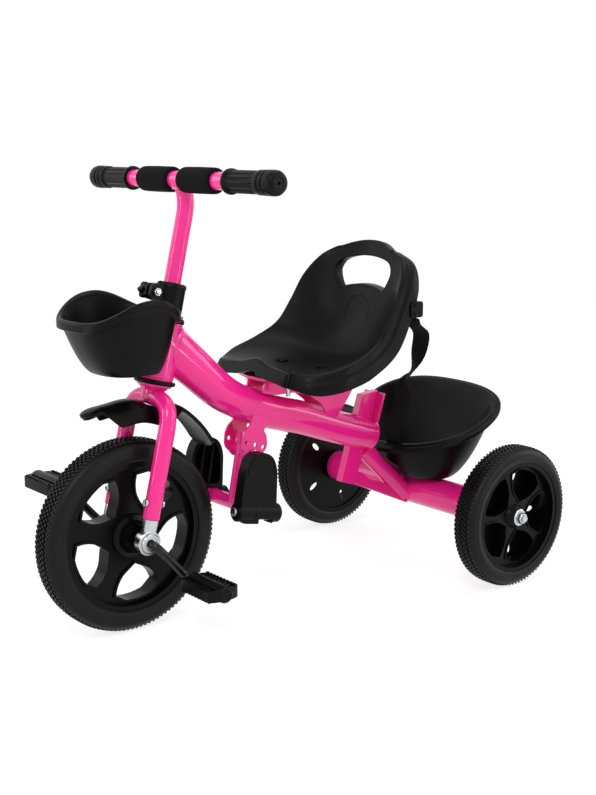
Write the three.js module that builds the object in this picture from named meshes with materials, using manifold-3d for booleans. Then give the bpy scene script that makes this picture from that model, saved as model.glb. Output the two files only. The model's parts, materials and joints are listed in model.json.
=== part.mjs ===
// Children's tricycle: direct-drive front wheel, bucket seat, two baskets and a folding footrest.
// Millimetres. +Z is up, the tricycle faces -Y, and +X is the rider's left.
// The model is laid out from the front hub's ground point; the whole is then moved so that
// the origin lies on the ground at the middle of its length.
import * as THREE from 'three';
import { mergeVertices } from 'three/addons/utils/BufferGeometryUtils.js';
import Module from 'manifold-3d';

const wasm = await Module();
wasm.setup();

// ---------------------------------------------------------------- driving dimensions
const FIT = 0.3; // gap between pieces that touch
const RUN = 0.35; // gap between pieces that turn on each other
const FLAT = 0.05; // facets that bend less than this are merged

const FRONT_RADIUS = 127; // 10 inch front wheel
const FRONT_TYRE_WIDTH = 43;
const FRONT_RIM_RADIUS = 98.6;
const REAR_RADIUS = 101.6; // 8 inch rear wheels
const REAR_TYRE_WIDTH = 41;
const REAR_RIM_RADIUS = 79.3;
const WHEELBASE = 515;
const TYRE_SIDES = 24; // flats round each tyre; one lies on the ground

const LEAN = THREE.MathUtils.degToRad(13.5); // steering axis leans back by this much
const LEG_SPREAD = 46; // fork leg centre from the middle plane
const LEG_RADIUS = 11;
const CROWN_START = 135; // where the legs begin to bend into the crown arch
const STEERER_RADIUS = 14;
const STEERER_BORE = 11.4;
const STEERER_TOP = 325;
const HEAD_BOTTOM = 203;
const HEAD_TOP = 277.5;
const HEAD_RADIUS = 23;
const HEAD_BORE = 16;

const MAIN_TUBE_RADIUS = 24;
const AXLE_TUBE_RADIUS = 24;
const AXLE_TUBE_HALF = 177;
const AXLE_RADIUS = 5;
const PLUG_FLANGE = 3;
const REAR_HUB_HALF = 17;
const REAR_WHEEL_X = AXLE_TUBE_HALF + PLUG_FLANGE + FIT + 0.2 + REAR_HUB_HALF; // 0.2 of play at each hub

const CRANK_THROW = 70;
const CRANK_ANGLE = THREE.MathUtils.degToRad(-48); // left arm at rest, from +Y towards +Z
const CRANK_PLANE = 66.5; // arm centre from the middle plane
const CRANK_RADIUS = 5.5;
const PEDAL_LENGTH = 74;

const BAR_Y = 91;
const BAR_Z = 577.2;
const BAR_RADIUS = 11.2;
const STEM_RADIUS = 11;
const BAR_HALF = 199;

const STRAP_WIDTH = 25;
const STRAP_THICKNESS = 2;
const SEAT_PLATE_TOP = 308;
const SEAT_BOLT_X = 44;
const SEAT_BOLT_Y = [232, 291];
const BASKET_REACH = 109; // the rear basket ends this far behind the rear axle

// ---------------------------------------------------------------- materials
const surface = (color, roughness, metalness = 0) =>
  () => new THREE.MeshStandardMaterial({ color, roughness, metalness });
const pinkPaint = surface(0xf03a93, 0.25, 0.1);
const blackPlastic = surface(0x161617, 0.5);
const blackFoam = surface(0x1c1c1d, 0.9);
const blackRubber = surface(0x121213, 0.7);
const blackSteel = surface(0x18181a, 0.4, 0.5);
const tyreFoam = surface(0x1a1a1b, 0.85);
const zinc = surface(0xb9bcc0, 0.35, 0.9);
const webbing = surface(0x151516, 0.95);

// ---------------------------------------------------------------- solids
const V = (x, y, z) => new THREE.Vector3(x, y, z);

function solidOf(geometry) {
  const bare = geometry.clone();
  bare.deleteAttribute('normal');
  bare.deleteAttribute('uv');
  const merged = mergeVertices(bare, 1e-4);
  return new wasm.Manifold(new wasm.Mesh({
    numProp: 3,
    vertProperties: new Float32Array(merged.attributes.position.array),
    triVerts: new Uint32Array(merged.index.array),
  }));
}

function geometryOf(solid) {
  const mesh = solid.asOriginal().simplify(FLAT).getMesh();
  const geometry = new THREE.BufferGeometry();
  geometry.setAttribute('position', new THREE.BufferAttribute(mesh.vertProperties, 3));
  geometry.setIndex(new THREE.BufferAttribute(mesh.triVerts, 1));
  geometry.computeVertexNormals();
  return geometry;
}

const join = (...solids) => solids.reduce((sum, solid) => sum.add(solid));
const cut = (solid, ...tools) => tools.reduce((rest, tool) => rest.subtract(tool), solid);
const moved = (solid, x, y, z) => solid.translate([x, y, z]);
const mirrored = (solid) => solid.mirror([1, 0, 0]);
const both = (solid) => join(solid, mirrored(solid));

function box(x0, x1, y0, y1, z0, z1) {
  const geometry = new THREE.BoxGeometry(x1 - x0, y1 - y0, z1 - z0);
  geometry.translate((x0 + x1) / 2, (y0 + y1) / 2, (z0 + z1) / 2);
  return solidOf(geometry);
}

// Round bar from one point to another; the far end may have its own radius.
function rod(from, to, radius, sides = 16, farRadius = radius) {
  const along = to.clone().sub(from);
  const geometry = new THREE.CylinderGeometry(farRadius, radius, along.length(), sides);
  geometry.translate(0, along.length() / 2, 0);
  const turn = new THREE.Quaternion().setFromUnitVectors(V(0, 1, 0), along.normalize());
  geometry.applyQuaternion(turn);
  geometry.translate(from.x, from.y, from.z);
  return solidOf(geometry);
}

const pipe = (from, to, outer, inner, sides = 18) => {
  const along = to.clone().sub(from).normalize();
  return cut(
    rod(from, to, outer, sides),
    rod(from.clone().sub(along), to.clone().add(along), inner, sides),
  );
};

// Body of revolution round the X axis from [x, radius] points. A profile off the axis closes on
// itself. The flats' middles lie at the stated radii, and one flat faces straight down.
function turnedX(profile, sides = 24) {
  const grow = 1 / Math.cos(Math.PI / sides);
  const points = profile.map(([x, radius]) => new THREE.Vector2(radius * grow, x));
  const open = points[0].x === 0 && points[points.length - 1].x === 0;
  if (!open) points.push(points[0].clone());
  const geometry = new THREE.LatheGeometry(points, sides, Math.PI / sides);
  geometry.rotateZ(-Math.PI / 2);
  return outward(geometry);
}

// The same round the Z axis, from [z, radius] points.
function turnedZ(profile, sides = 24) {
  return turnedX(profile, sides).rotate([0, -90, 0]);
}

function outward(geometry) {
  const indexed = geometry.index ? geometry : mergeVertices(geometry);
  const p = indexed.attributes.position;
  const index = indexed.index.array;
  const [a, b, c] = [V(0, 0, 0), V(0, 0, 0), V(0, 0, 0)];
  let volume = 0;
  for (let i = 0; i < index.length; i += 3) {
    a.fromBufferAttribute(p, index[i]);
    b.fromBufferAttribute(p, index[i + 1]);
    c.fromBufferAttribute(p, index[i + 2]);
    volume += a.dot(b.cross(c));
  }
  if (volume < 0) {
    for (let i = 0; i < index.length; i += 3) {
      [index[i], index[i + 1]] = [index[i + 1], index[i]];
    }
  }
  return solidOf(indexed);
}

function extruded(shape, depth, xAxis, yAxis, origin) {
  const geometry = new THREE.ExtrudeGeometry(shape, { depth, bevelEnabled: false, curveSegments: 8 });
  const zAxis = xAxis.clone().cross(yAxis);
  geometry.applyMatrix4(new THREE.Matrix4().makeBasis(xAxis, yAxis, zAxis).setPosition(origin));
  return solidOf(geometry);
}

const shapeOf = (outline) =>
  outline instanceof THREE.Shape ? outline : new THREE.Shape(outline.map(([a, b]) => new THREE.Vector2(a, b)));
// Plates: an outline in (y, z), (x, z) or (x, y), thickened along the third axis.
const plateX = (outline, x0, x1) => extruded(shapeOf(outline), x1 - x0, V(0, 1, 0), V(0, 0, 1), V(x0, 0, 0));
const plateY = (outline, y0, y1) => extruded(shapeOf(outline), y1 - y0, V(1, 0, 0), V(0, 0, 1), V(0, y1, 0));
const plateZ = (outline, z0, z1) => extruded(shapeOf(outline), z1 - z0, V(1, 0, 0), V(0, 1, 0), V(0, 0, z0));

const CORNER_POINTS = 2; // facets round a plate's corner

// Outline with every corner rounded to the same radius.
function rounded(outline, radius) {
  const shape = new THREE.Shape();
  outline.forEach(([x, y], i) => {
    const [px, py] = outline[(i + outline.length - 1) % outline.length];
    const [nx, ny] = outline[(i + 1) % outline.length];
    const before = Math.hypot(px - x, py - y);
    const after = Math.hypot(nx - x, ny - y);
    const r = Math.min(radius, before / 2.01, after / 2.01);
    const start = [x + ((px - x) * r) / before, y + ((py - y) * r) / before];
    const end = [x + ((nx - x) * r) / after, y + ((ny - y) * r) / after];
    if (i === 0) shape.moveTo(...start);
    else shape.lineTo(...start);
    shape.quadraticCurveTo(x, y, ...end);
  });
  shape.closePath();
  return new THREE.Shape(shape.getPoints(CORNER_POINTS));
}

// Closed body through rings with the same number of points, capped at both ends.
function loft(rings) {
  const count = rings[0].length;
  const positions = rings.flat().flatMap((p) => [p.x, p.y, p.z]);
  const index = [];
  for (let r = 0; r < rings.length - 1; r++) {
    for (let i = 0; i < count; i++) {
      const j = (i + 1) % count;
      const [a, b] = [r * count + i, r * count + j];
      index.push(a, b, b + count, a, b + count, a + count);
    }
  }
  const last = (rings.length - 1) * count;
  for (const [a, b, c] of capFaces(rings[0])) index.push(c, b, a);
  for (const [a, b, c] of capFaces(rings[rings.length - 1])) index.push(last + a, last + b, last + c);
  const geometry = new THREE.BufferGeometry();
  geometry.setAttribute('position', new THREE.Float32BufferAttribute(positions, 3));
  geometry.setIndex(index);
  return outward(geometry);
}

// Triangles that fill a ring, wound the way the ring runs.
function capFaces(ring) {
  const normal = V(0, 0, 0);
  ring.forEach((p, i) => normal.add(p.clone().cross(ring[(i + 1) % ring.length])));
  normal.normalize();
  const side = Math.abs(normal.x) < 0.8 ? V(1, 0, 0) : V(0, 1, 0);
  const u = side.cross(normal).normalize();
  const v = normal.clone().cross(u);
  const flat = ring.map((p) => new THREE.Vector2(p.dot(u), p.dot(v)));
  const area = ([a, b, c]) => flat[b].clone().sub(flat[a]).cross(flat[c].clone().sub(flat[a]));
  return THREE.ShapeUtils.triangulateShape(flat, []).map((face) => (area(face) < 0 ? face.reverse() : face));
}

// Tube along points that lie in one plane; side is the direction across that plane. Each section
// is an ellipse: across(i) along side and radius(i) within the plane.
function sweep(points, side, radius, sides = 20, across = radius) {
  const rings = points.map((point, i) => {
    const ahead = points[Math.min(i + 1, points.length - 1)];
    const behind = points[Math.max(i - 1, 0)];
    const tangent = ahead.clone().sub(behind).normalize();
    const inPlane = side.clone().cross(tangent).normalize();
    return Array.from({ length: sides }, (_, k) => {
      const angle = (2 * Math.PI * (k + 0.5)) / sides;
      return point.clone()
        .addScaledVector(side, across(i) * Math.cos(angle))
        .addScaledVector(inPlane, radius(i) * Math.sin(angle));
    });
  });
  return loft(rings);
}

// Points of a path whose corners are rounded.
function bentPath(corners, radius, steps = 6) {
  const points = [corners[0]];
  for (let i = 1; i < corners.length - 1; i++) {
    const back = corners[i - 1].clone().sub(corners[i]);
    const forth = corners[i + 1].clone().sub(corners[i]);
    const start = corners[i].clone().addScaledVector(back.normalize(), radius);
    const end = corners[i].clone().addScaledVector(forth.normalize(), radius);
    points.push(...new THREE.QuadraticBezierCurve3(start, corners[i], end).getPoints(steps));
  }
  points.push(corners[corners.length - 1]);
  return points;
}

const hexagon = (radius) => Array.from({ length: 6 }, (_, i) =>
  [radius * Math.cos((i * Math.PI) / 3), radius * Math.sin((i * Math.PI) / 3)]);

function add(parent, name, solid, material) {
  const mesh = new THREE.Mesh(geometryOf(solid), material());
  mesh.name = name;
  parent.add(mesh);
  return mesh;
}

// ---------------------------------------------------------------- frame tubes
const AXIS = V(0, Math.sin(LEAN), Math.cos(LEAN));
const HUB = V(0, 0, FRONT_RADIUS);
const onAxis = (s) => HUB.clone().addScaledVector(AXIS, s);
const REAR_AXLE = V(0, WHEELBASE, REAR_RADIUS);
const ahead = (distance) => WHEELBASE - distance; // y of a place ahead of the rear axle

const MAIN_END_Y = ahead(95);
const MAIN_CURVE = new THREE.CatmullRomCurve3([
  [57, 376], [103, 337], [158, 291], [221, 262], [289, 242],
  [289 + 0.48 * (MAIN_END_Y - 289), 220], [MAIN_END_Y, 199],
].map(([y, z]) => V(0, y, z)));
const MAIN_STATIONS = 12;

// Height of the main tube's centre line at one place along the tricycle.
function tubeHeight(y) {
  const points = MAIN_CURVE.getPoints(60);
  const next = points.findIndex((point) => point.y >= y);
  const [a, b] = [points[next - 1], points[next]];
  return a.z + ((b.z - a.z) * (y - a.y)) / (b.y - a.y);
}

// The main tube is oval where it meets the head tube and becomes round behind the bend.
function mainTube(grow = 0) {
  const points = MAIN_CURVE.getPoints(MAIN_STATIONS - 1);
  points[MAIN_STATIONS - 1].addScaledVector(MAIN_CURVE.getTangent(1), grow);
  const flare = (i) => Math.max(0, 1 - i / 4);
  const height = (i) => MAIN_TUBE_RADIUS + grow + 6 * flare(i);
  const width = (i) => MAIN_TUBE_RADIUS + grow - 2.5 * flare(i);
  return sweep(points, V(1, 0, 0), height, 16, width);
}

const UPRIGHT_FOOT = V(0, ahead(139), 132);
const UPRIGHT_HEAD = V(0, ahead(99), 259);
const UPRIGHT_DEPTH = 28;
const UPRIGHT_WIDTH = 13;

function upright(grow = 0) {
  const along = UPRIGHT_HEAD.clone().sub(UPRIGHT_FOOT).normalize();
  const back = V(1, 0, 0).cross(along).negate();
  const half = UPRIGHT_DEPTH / 2 + grow;
  const corner = (end, side, rise) => {
    const p = end.clone().addScaledVector(back, side * half).addScaledVector(along, rise);
    return [p.y, p.z];
  };
  const outline = [
    corner(UPRIGHT_FOOT, -1, -grow), corner(UPRIGHT_FOOT, 1, -grow),
    corner(UPRIGHT_HEAD, 1, 10 + grow), corner(UPRIGHT_HEAD, -1, grow - 2),
  ];
  const halfWidth = UPRIGHT_WIDTH / 2 + grow;
  const front = UPRIGHT_DEPTH / 2 - 1 - grow;
  const flangeFoot = UPRIGHT_FOOT.clone().addScaledVector(along, 97 - grow).addScaledVector(back, front);
  const flangeHead = UPRIGHT_HEAD.clone().addScaledVector(along, 8 + grow).addScaledVector(back, front);
  const outer = (end) => end.clone().addScaledVector(back, 4 + 2 * grow);
  const flange = [flangeFoot, outer(flangeFoot), outer(flangeHead), flangeHead].map((p) => [p.y, p.z]);
  return join(plateX(outline, -halfWidth, halfWidth), plateX(flange, -21 - grow, 21 + grow));
}

function neck(grow = 0) {
  const [top, foot] = [V(0, ahead(107), 179), V(0, ahead(17), 97)];
  const along = foot.clone().sub(top).normalize();
  return rod(top.addScaledVector(along, -grow), foot.addScaledVector(along, grow), 14 + grow, 16);
}

// ---------------------------------------------------------------- wheels
// Flared spokes leave rounded windows between them.
function windowOutline(spokes, index, inner, outer, waist, flare, inset = 0) {
  const middle = (inner + outer) / 2;
  const pitch = Math.PI / spokes;
  const halfWidth = (r) => waist + flare * ((r - middle) / (outer - middle)) ** 2 + inset;
  const halfAngle = (r) => pitch - Math.asin(halfWidth(r) / r);
  const heading = (2 * Math.PI * index) / spokes;
  const at = (r, angle) => [r * Math.cos(heading + angle), r * Math.sin(heading + angle)];
  const [low, high] = [inner + inset, outer - inset];
  const side = (sign) => [[low, 0.6], [middle - 3, 1], [high - 2, 0.9]]
    .map(([r, k]) => at(r, sign * k * halfAngle(r)));
  return [...side(1), ...side(-1).reverse()];
}

function spokedWheel(spec) {
  const { rim, tyreWidth, rimDepth, hubRadius, hubHalf, bore, web, bead } = spec;
  const half = tyreWidth / 2 - 3;
  const ring = turnedX([
    [-half, rim - rimDepth], [-half, rim], [-half + 3, rim], [-half + 5, rim - 5],
    [half - 5, rim - 5], [half - 3, rim], [half, rim], [half, rim - rimDepth],
  ], TYRE_SIDES);
  const discRadius = rim - rimDepth + 1;
  const disc = turnedX([[-web, 0], [-web, discRadius], [web, discRadius], [web, 0]], TYRE_SIDES);
  const flange = web + bead;
  const hub = turnedX([
    [-hubHalf, 0], [-hubHalf, hubRadius - 4], [-flange - 4, hubRadius], [-flange, hubRadius + 8],
    [flange, hubRadius + 8], [flange + 4, hubRadius], [hubHalf, hubRadius - 4], [hubHalf, 0],
  ], 14);
  let wheel = join(ring, disc, hub);
  const { spokes, inner, outer, waist, flare, turn } = spec;
  for (let i = 0; i < spokes; i++) {
    const lip = plateX(windowOutline(spokes, i + 0.5, inner, outer, waist, flare, -3.5), -flange, flange);
    wheel = wheel.add(lip.rotate([turn, 0, 0]));
  }
  for (let i = 0; i < spokes; i++) {
    const hole = plateX(windowOutline(spokes, i + 0.5, inner, outer, waist, flare), -flange - 1, flange + 1);
    wheel = wheel.subtract(hole.rotate([turn, 0, 0]));
  }
  return cut(wheel, rod(V(-hubHalf - 1, 0, 0), V(hubHalf + 1, 0, 0), bore, 10));
}

// Foam tyre seated on the slopes of the rim's groove.
function tyre(radius, width, rim) {
  const half = width / 2;
  const seat = half - 6;
  const outline = (sign) => [
    [sign * (seat - 2.25), rim - 5 + FIT], [sign * (seat - 0.25), rim + FIT], [sign * (half - 2), rim + FIT],
    [sign * half, rim + 8], [sign * (half - 1), radius - 11], [sign * (half - 9), radius],
  ];
  return turnedX([...outline(1), ...outline(-1).reverse()], TYRE_SIDES);
}

const frontWheelSpec = {
  rim: FRONT_RIM_RADIUS, tyreWidth: FRONT_TYRE_WIDTH, rimDepth: 7, hubRadius: 22, hubHalf: 31,
  bore: CRANK_RADIUS + RUN, web: 9, bead: 2.5, spokes: 5, inner: 38, outer: 85, waist: 13, flare: 6, turn: 95,
};
const rearWheelSpec = {
  rim: REAR_RIM_RADIUS, tyreWidth: REAR_TYRE_WIDTH, rimDepth: 6, hubRadius: 17, hubHalf: REAR_HUB_HALF,
  bore: AXLE_RADIUS + RUN, web: 8, bead: 2.5, spokes: 5, inner: 32, outer: 67, waist: 8, flare: 5, turn: 104,
};

// ---------------------------------------------------------------- shells
// Superellipse ring at one height function; power 2 is an ellipse, more is squarer.
function ovalRing(centreY, halfX, halfY, power, height, count = 22) {
  return Array.from({ length: count }, (_, i) => {
    const angle = (2 * Math.PI * (i + 0.5)) / count;
    const round = (value) => Math.sign(value) * Math.abs(value) ** (2 / power);
    const x = halfX * round(Math.cos(angle));
    const y = centreY + halfY * round(Math.sin(angle));
    return V(x, y, height(x, y));
  });
}

const WALL = 3;

// Moulded basket: base and rim outlines joined by sloping walls, with a turned-out lip. The
// notches are grown by the wall so that the shell follows them.
function basketShell({ base, rim, rimHeight, floor, lip, lipHeight, power, bulge, notch }) {
  const level = (t, grow) => {
    const mix = (a, b) => a + (b - a) * t;
    return (height) => ovalRing(mix(base.y, rim.y), mix(base.halfX, rim.halfX) + grow,
      mix(base.halfY, rim.halfY) + grow, power, height);
  };
  const between = (t, drop) => (x, y) => floor + (rimHeight(x, y) - drop - floor) * t;
  const steps = [0.05, 0.3, 0.65];
  const outer = loft([
    level(0, -5)(() => floor),
    ...steps.map((t) => level(t ** bulge, 0)(between(t, lipHeight))),
    level(0.97, 0)(between(1, lipHeight)),
    level(0.97, lip)(between(1, lipHeight - 1)),
    level(1, lip)(between(1, 1.2)),
    level(1, lip - 1.5)(between(1, 0)),
  ]);
  const inner = loft([
    level(0, -5 - WALL)(() => floor + WALL),
    ...steps.map((t) => level(t ** bulge, -WALL)((x, y) => WALL + between(t, lipHeight)(x, y))),
    level(1, -1)(between(1, 1.5)),
    level(1, -1)((x, y) => rimHeight(x, y) + 5),
  ]);
  return cut(outer.subtract(notch(0)), inner.subtract(notch(WALL)));
}

// ---------------------------------------------------------------- seat
// Stations from the front edge to the top: centre y and z, the rim's x, y and z, and the skirt.
const SEAT_STATIONS = [
  [207, 330, 78, 206, 325, 20],
  [236, 319, 103, 231, 323, 27],
  [272, 316, 118, 262, 331, 31],
  [318, 317, 119, 303, 344, 33],
  [362, 328, 113, 338, 364, 34],
  [388, 362, 108, 360, 396, 34],
  [402, 410, 103, 381, 432, 30],
  [413, 452, 86, 400, 460, 20],
  [422, 487, 52, 410, 478, 13],
];
const SEAT_ROWS = 10;
const SEAT_COLUMNS = 8;
const SEAT_WALL = 4;
const POMMEL = 7;

function seatSections() {
  const centre = new THREE.CatmullRomCurve3(SEAT_STATIONS.map(([y, z]) => V(0, y, z)));
  const edge = new THREE.CatmullRomCurve3(SEAT_STATIONS.map(([, , x, y, z]) => V(x, y, z)));
  const skirts = new THREE.CatmullRomCurve3(SEAT_STATIONS.map((station) => V(station[5], 0, 0)));
  return Array.from({ length: SEAT_ROWS + 1 }, (_, row) => {
    const t = row / SEAT_ROWS;
    const middle = centre.getPoint(t);
    const rim = edge.getPoint(t);
    const tangent = centre.getTangent(t);
    const normal = V(0, -tangent.z, tangent.y);
    const pommel = POMMEL * Math.max(0, 1 - t * 5) ** 1.5;
    return { middle, rim, normal, pommel, skirt: skirts.getPoint(t).x };
  });
}

// One closed section: the sitting surface, the rolled rim, the skirt and the underside.
function seatRing({ middle, rim, normal, pommel, skirt }, depth) {
  const top = Array.from({ length: SEAT_COLUMNS + 1 }, (_, i) => {
    const t = (2 * i) / SEAT_COLUMNS - 1;
    const blend = Math.abs(t) ** 2.3;
    const point = middle.clone().lerp(V(0, rim.y, rim.z), blend);
    point.x = rim.x * t;
    return point.addScaledVector(normal, pommel * Math.exp(-((t / 0.28) ** 2)));
  });
  const rimPoint = (out, down, sign) => V(sign * (rim.x + out), rim.y, rim.z).addScaledVector(normal, -down);
  const roll = [[3, 2], [5, 0.3 * skirt], [9, 0.45 * skirt], [9, skirt]];
  const back = [[6, skirt], [5, 0.6 * skirt], [2, Math.min(Math.max(depth, 6), skirt)]];
  const right = [...roll, ...back].map(([out, down]) => rimPoint(out, down, 1));
  const left = [...roll, ...back].map(([out, down]) => rimPoint(out, down, -1)).reverse();
  const under = top.slice(1, -1).reverse().map((point) => point.clone().addScaledVector(normal, -depth));
  return [...top, ...right, ...under, ...left];
}

function seatSolid(depth) {
  const sections = seatSections();
  const shift = (section, distance) => {
    const along = V(0, section.normal.z, -section.normal.y);
    return {
      ...section,
      middle: section.middle.clone().addScaledVector(along, distance),
      rim: section.rim.clone().addScaledVector(along, distance),
    };
  };
  const first = sections[0];
  const rings = [seatRing(first, first.skirt - 0.5), seatRing(shift(first, WALL), first.skirt - 0.5)];
  rings.push(seatRing(shift(first, WALL + 0.1), depth));
  sections.slice(1, -1).forEach((section) => rings.push(seatRing(section, depth)));
  const last = sections[sections.length - 1];
  rings.push(seatRing(shift(last, -WALL - 0.1), depth));
  rings.push(seatRing(shift(last, -WALL), last.skirt - 0.5), seatRing(last, last.skirt - 0.5));
  return loft(rings);
}

// Hand slot: a D with an arched top and a slightly arched lower edge.
function slotShape(grow) {
  const [low, high, narrow, wide] = [410 - grow, 455 + grow, 44 + grow, 59 + grow];
  const shape = new THREE.Shape();
  shape.moveTo(-narrow, low);
  shape.quadraticCurveTo(0, low + 15, narrow, low);
  shape.lineTo(wide, high - 10);
  shape.quadraticCurveTo(wide + 1, high, wide - 12, high + 2);
  shape.quadraticCurveTo(0, high + 14, -wide + 12, high + 2);
  shape.quadraticCurveTo(-wide - 1, high, -wide, high - 10);
  shape.closePath();
  return shape;
}

function seatShell() {
  const block = seatSolid(16);
  const collar = plateY(slotShape(3), 380, 450).intersect(block);
  const holes = SEAT_BOLT_Y.flatMap((y) => [-1, 1].map((side) => {
    const x = side * SEAT_BOLT_X;
    return {
      boss: rod(V(x, y, SEAT_PLATE_TOP + FIT), V(x, y, 330), 9, 8).intersect(block),
      bore: join(rod(V(x, y, 300), V(x, y, 330), 3.6, 8), rod(V(x, y, 314.2), V(x, y, 335), 6.5, 8)),
    };
  }));
  const shell = join(seatSolid(SEAT_WALL), collar, ...holes.map((hole) => hole.boss));
  return cut(shell, plateY(slotShape(0), 340, 480), ...holes.map((hole) => hole.bore));
}

// ---------------------------------------------------------------- assembly
const tricycle = new THREE.Group();
tricycle.position.y = (FRONT_RADIUS - WHEELBASE - BASKET_REACH) / 2;
const frame = new THREE.Group();
const front = new THREE.Group();
front.position.copy(HUB);
const steering = new THREE.Group();
steering.rotation.x = -LEAN;
front.add(steering);
tricycle.add(frame, front);

const headCutter = rod(onAxis(HEAD_BOTTOM - 10), onAxis(HEAD_TOP + 10), HEAD_RADIUS + FIT, 16);
const besideAxle = (x) => REAR_AXLE.clone().setX(x);
const axleCutter = rod(besideAxle(-30), besideAxle(30), AXLE_TUBE_RADIUS + FIT, 20);

// Welded tubes
{
  const frontOfHead = box(-60, 60, 0, 60, 300, 420).intersect(
    rod(onAxis(150), onAxis(320), 60, 32).translate([0, -60, 0]),
  );
  const end = upright(FIT);
  add(frame, 'main_tube', cut(mainTube(), headCutter, frontOfHead, end), pinkPaint);
  const tube = pipe(V(0, 0, HEAD_BOTTOM), V(0, 0, HEAD_TOP), HEAD_RADIUS, HEAD_BORE, 16);
  add(steering, 'head_tube', tube, pinkPaint);
  add(frame, 'rear_upright', upright(), pinkPaint);
  add(frame, 'rear_neck', cut(neck(), mainTube(FIT), upright(FIT), axleCutter), pinkPaint);
  const link = plateX([
    [ahead(137), 139], [ahead(119), 126], [ahead(15), 79], [ahead(15), 96],
    [ahead(75), 124], [ahead(95), 130], [ahead(114), 146],
  ], -4, 4);
  add(frame, 'neck_link', cut(link, upright(FIT), neck(FIT), axleCutter, mainTube(FIT)), pinkPaint);
  const axleTube = pipe(V(-AXLE_TUBE_HALF, 0, 0), V(AXLE_TUBE_HALF, 0, 0), AXLE_TUBE_RADIUS, 22, 20);
  add(frame, 'axle_tube', axleTube, pinkPaint).position.copy(REAR_AXLE);
}

// Headset covers, which turn with the steerer in the ends of the head tube
{
  const spigot = HEAD_BORE - 3 * FIT;
  const bore = STEERER_RADIUS + RUN;
  const lower = turnedZ([
    [HEAD_BOTTOM + 9, bore], [HEAD_BOTTOM + 9, spigot], [HEAD_BOTTOM - FIT, spigot],
    [HEAD_BOTTOM - FIT, 27], [HEAD_BOTTOM - 5.5, 27], [HEAD_BOTTOM - 5.5, bore],
  ], 16);
  const upper = turnedZ([
    [HEAD_TOP - 9, bore], [HEAD_TOP - 9, spigot], [HEAD_TOP + FIT, spigot], [HEAD_TOP + FIT, 24],
    [HEAD_TOP + 6, 24], [HEAD_TOP + 8, 22], [HEAD_TOP + 8, bore],
  ], 16);
  add(steering, 'lower_headset_cover', lower, blackPlastic);
  add(steering, 'upper_headset_cover', upper, blackPlastic);
}

// Rear axle and what it carries
{
  const plug = turnedX([
    [-12, AXLE_RADIUS + FIT], [-12, 20.6], [FIT, 20.6], [FIT, AXLE_TUBE_RADIUS],
    [PLUG_FLANGE, AXLE_TUBE_RADIUS - 0.6], [PLUG_FLANGE, AXLE_RADIUS + FIT],
  ], 12);
  const washerX = REAR_WHEEL_X + REAR_HUB_HALF + FIT;
  const rodHalf = washerX + 12;
  const WASHER = 2.4;
  const axle = rod(V(-rodHalf, 0, 0), V(rodHalf, 0, 0), AXLE_RADIUS, 12);
  add(frame, 'rear_axle', axle, zinc).position.copy(REAR_AXLE);
  const washer = pipe(V(0, 0, 0), V(WASHER, 0, 0), 12, AXLE_RADIUS + FIT, 12);
  const nut = cut(plateX(hexagon(8.5), 0, 6), rod(V(-1, 0, 0), V(7, 0, 0), AXLE_RADIUS + FIT, 10));
  const rearTyre = tyre(REAR_RADIUS, REAR_TYRE_WIDTH, REAR_RIM_RADIUS);
  for (const [name, sign] of [['left', 1], ['right', -1]]) {
    const side = (solid) => (sign > 0 ? solid : mirrored(solid));
    const place = (mesh, x) => mesh.position.set(sign * x, REAR_AXLE.y, REAR_AXLE.z);
    place(add(frame, `axle_plug_${name}`, side(plug), blackPlastic), AXLE_TUBE_HALF);
    place(add(frame, `axle_washer_${name}`, side(washer), zinc), washerX);
    place(add(frame, `axle_nut_${name}`, side(nut), zinc), washerX + WASHER + FIT);
    place(add(frame, `rear_tyre_${name}`, rearTyre, tyreFoam), REAR_WHEEL_X);
    place(add(frame, `rear_wheel_${name}`, spokedWheel(rearWheelSpec), blackPlastic), REAR_WHEEL_X);
  }
}

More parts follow.
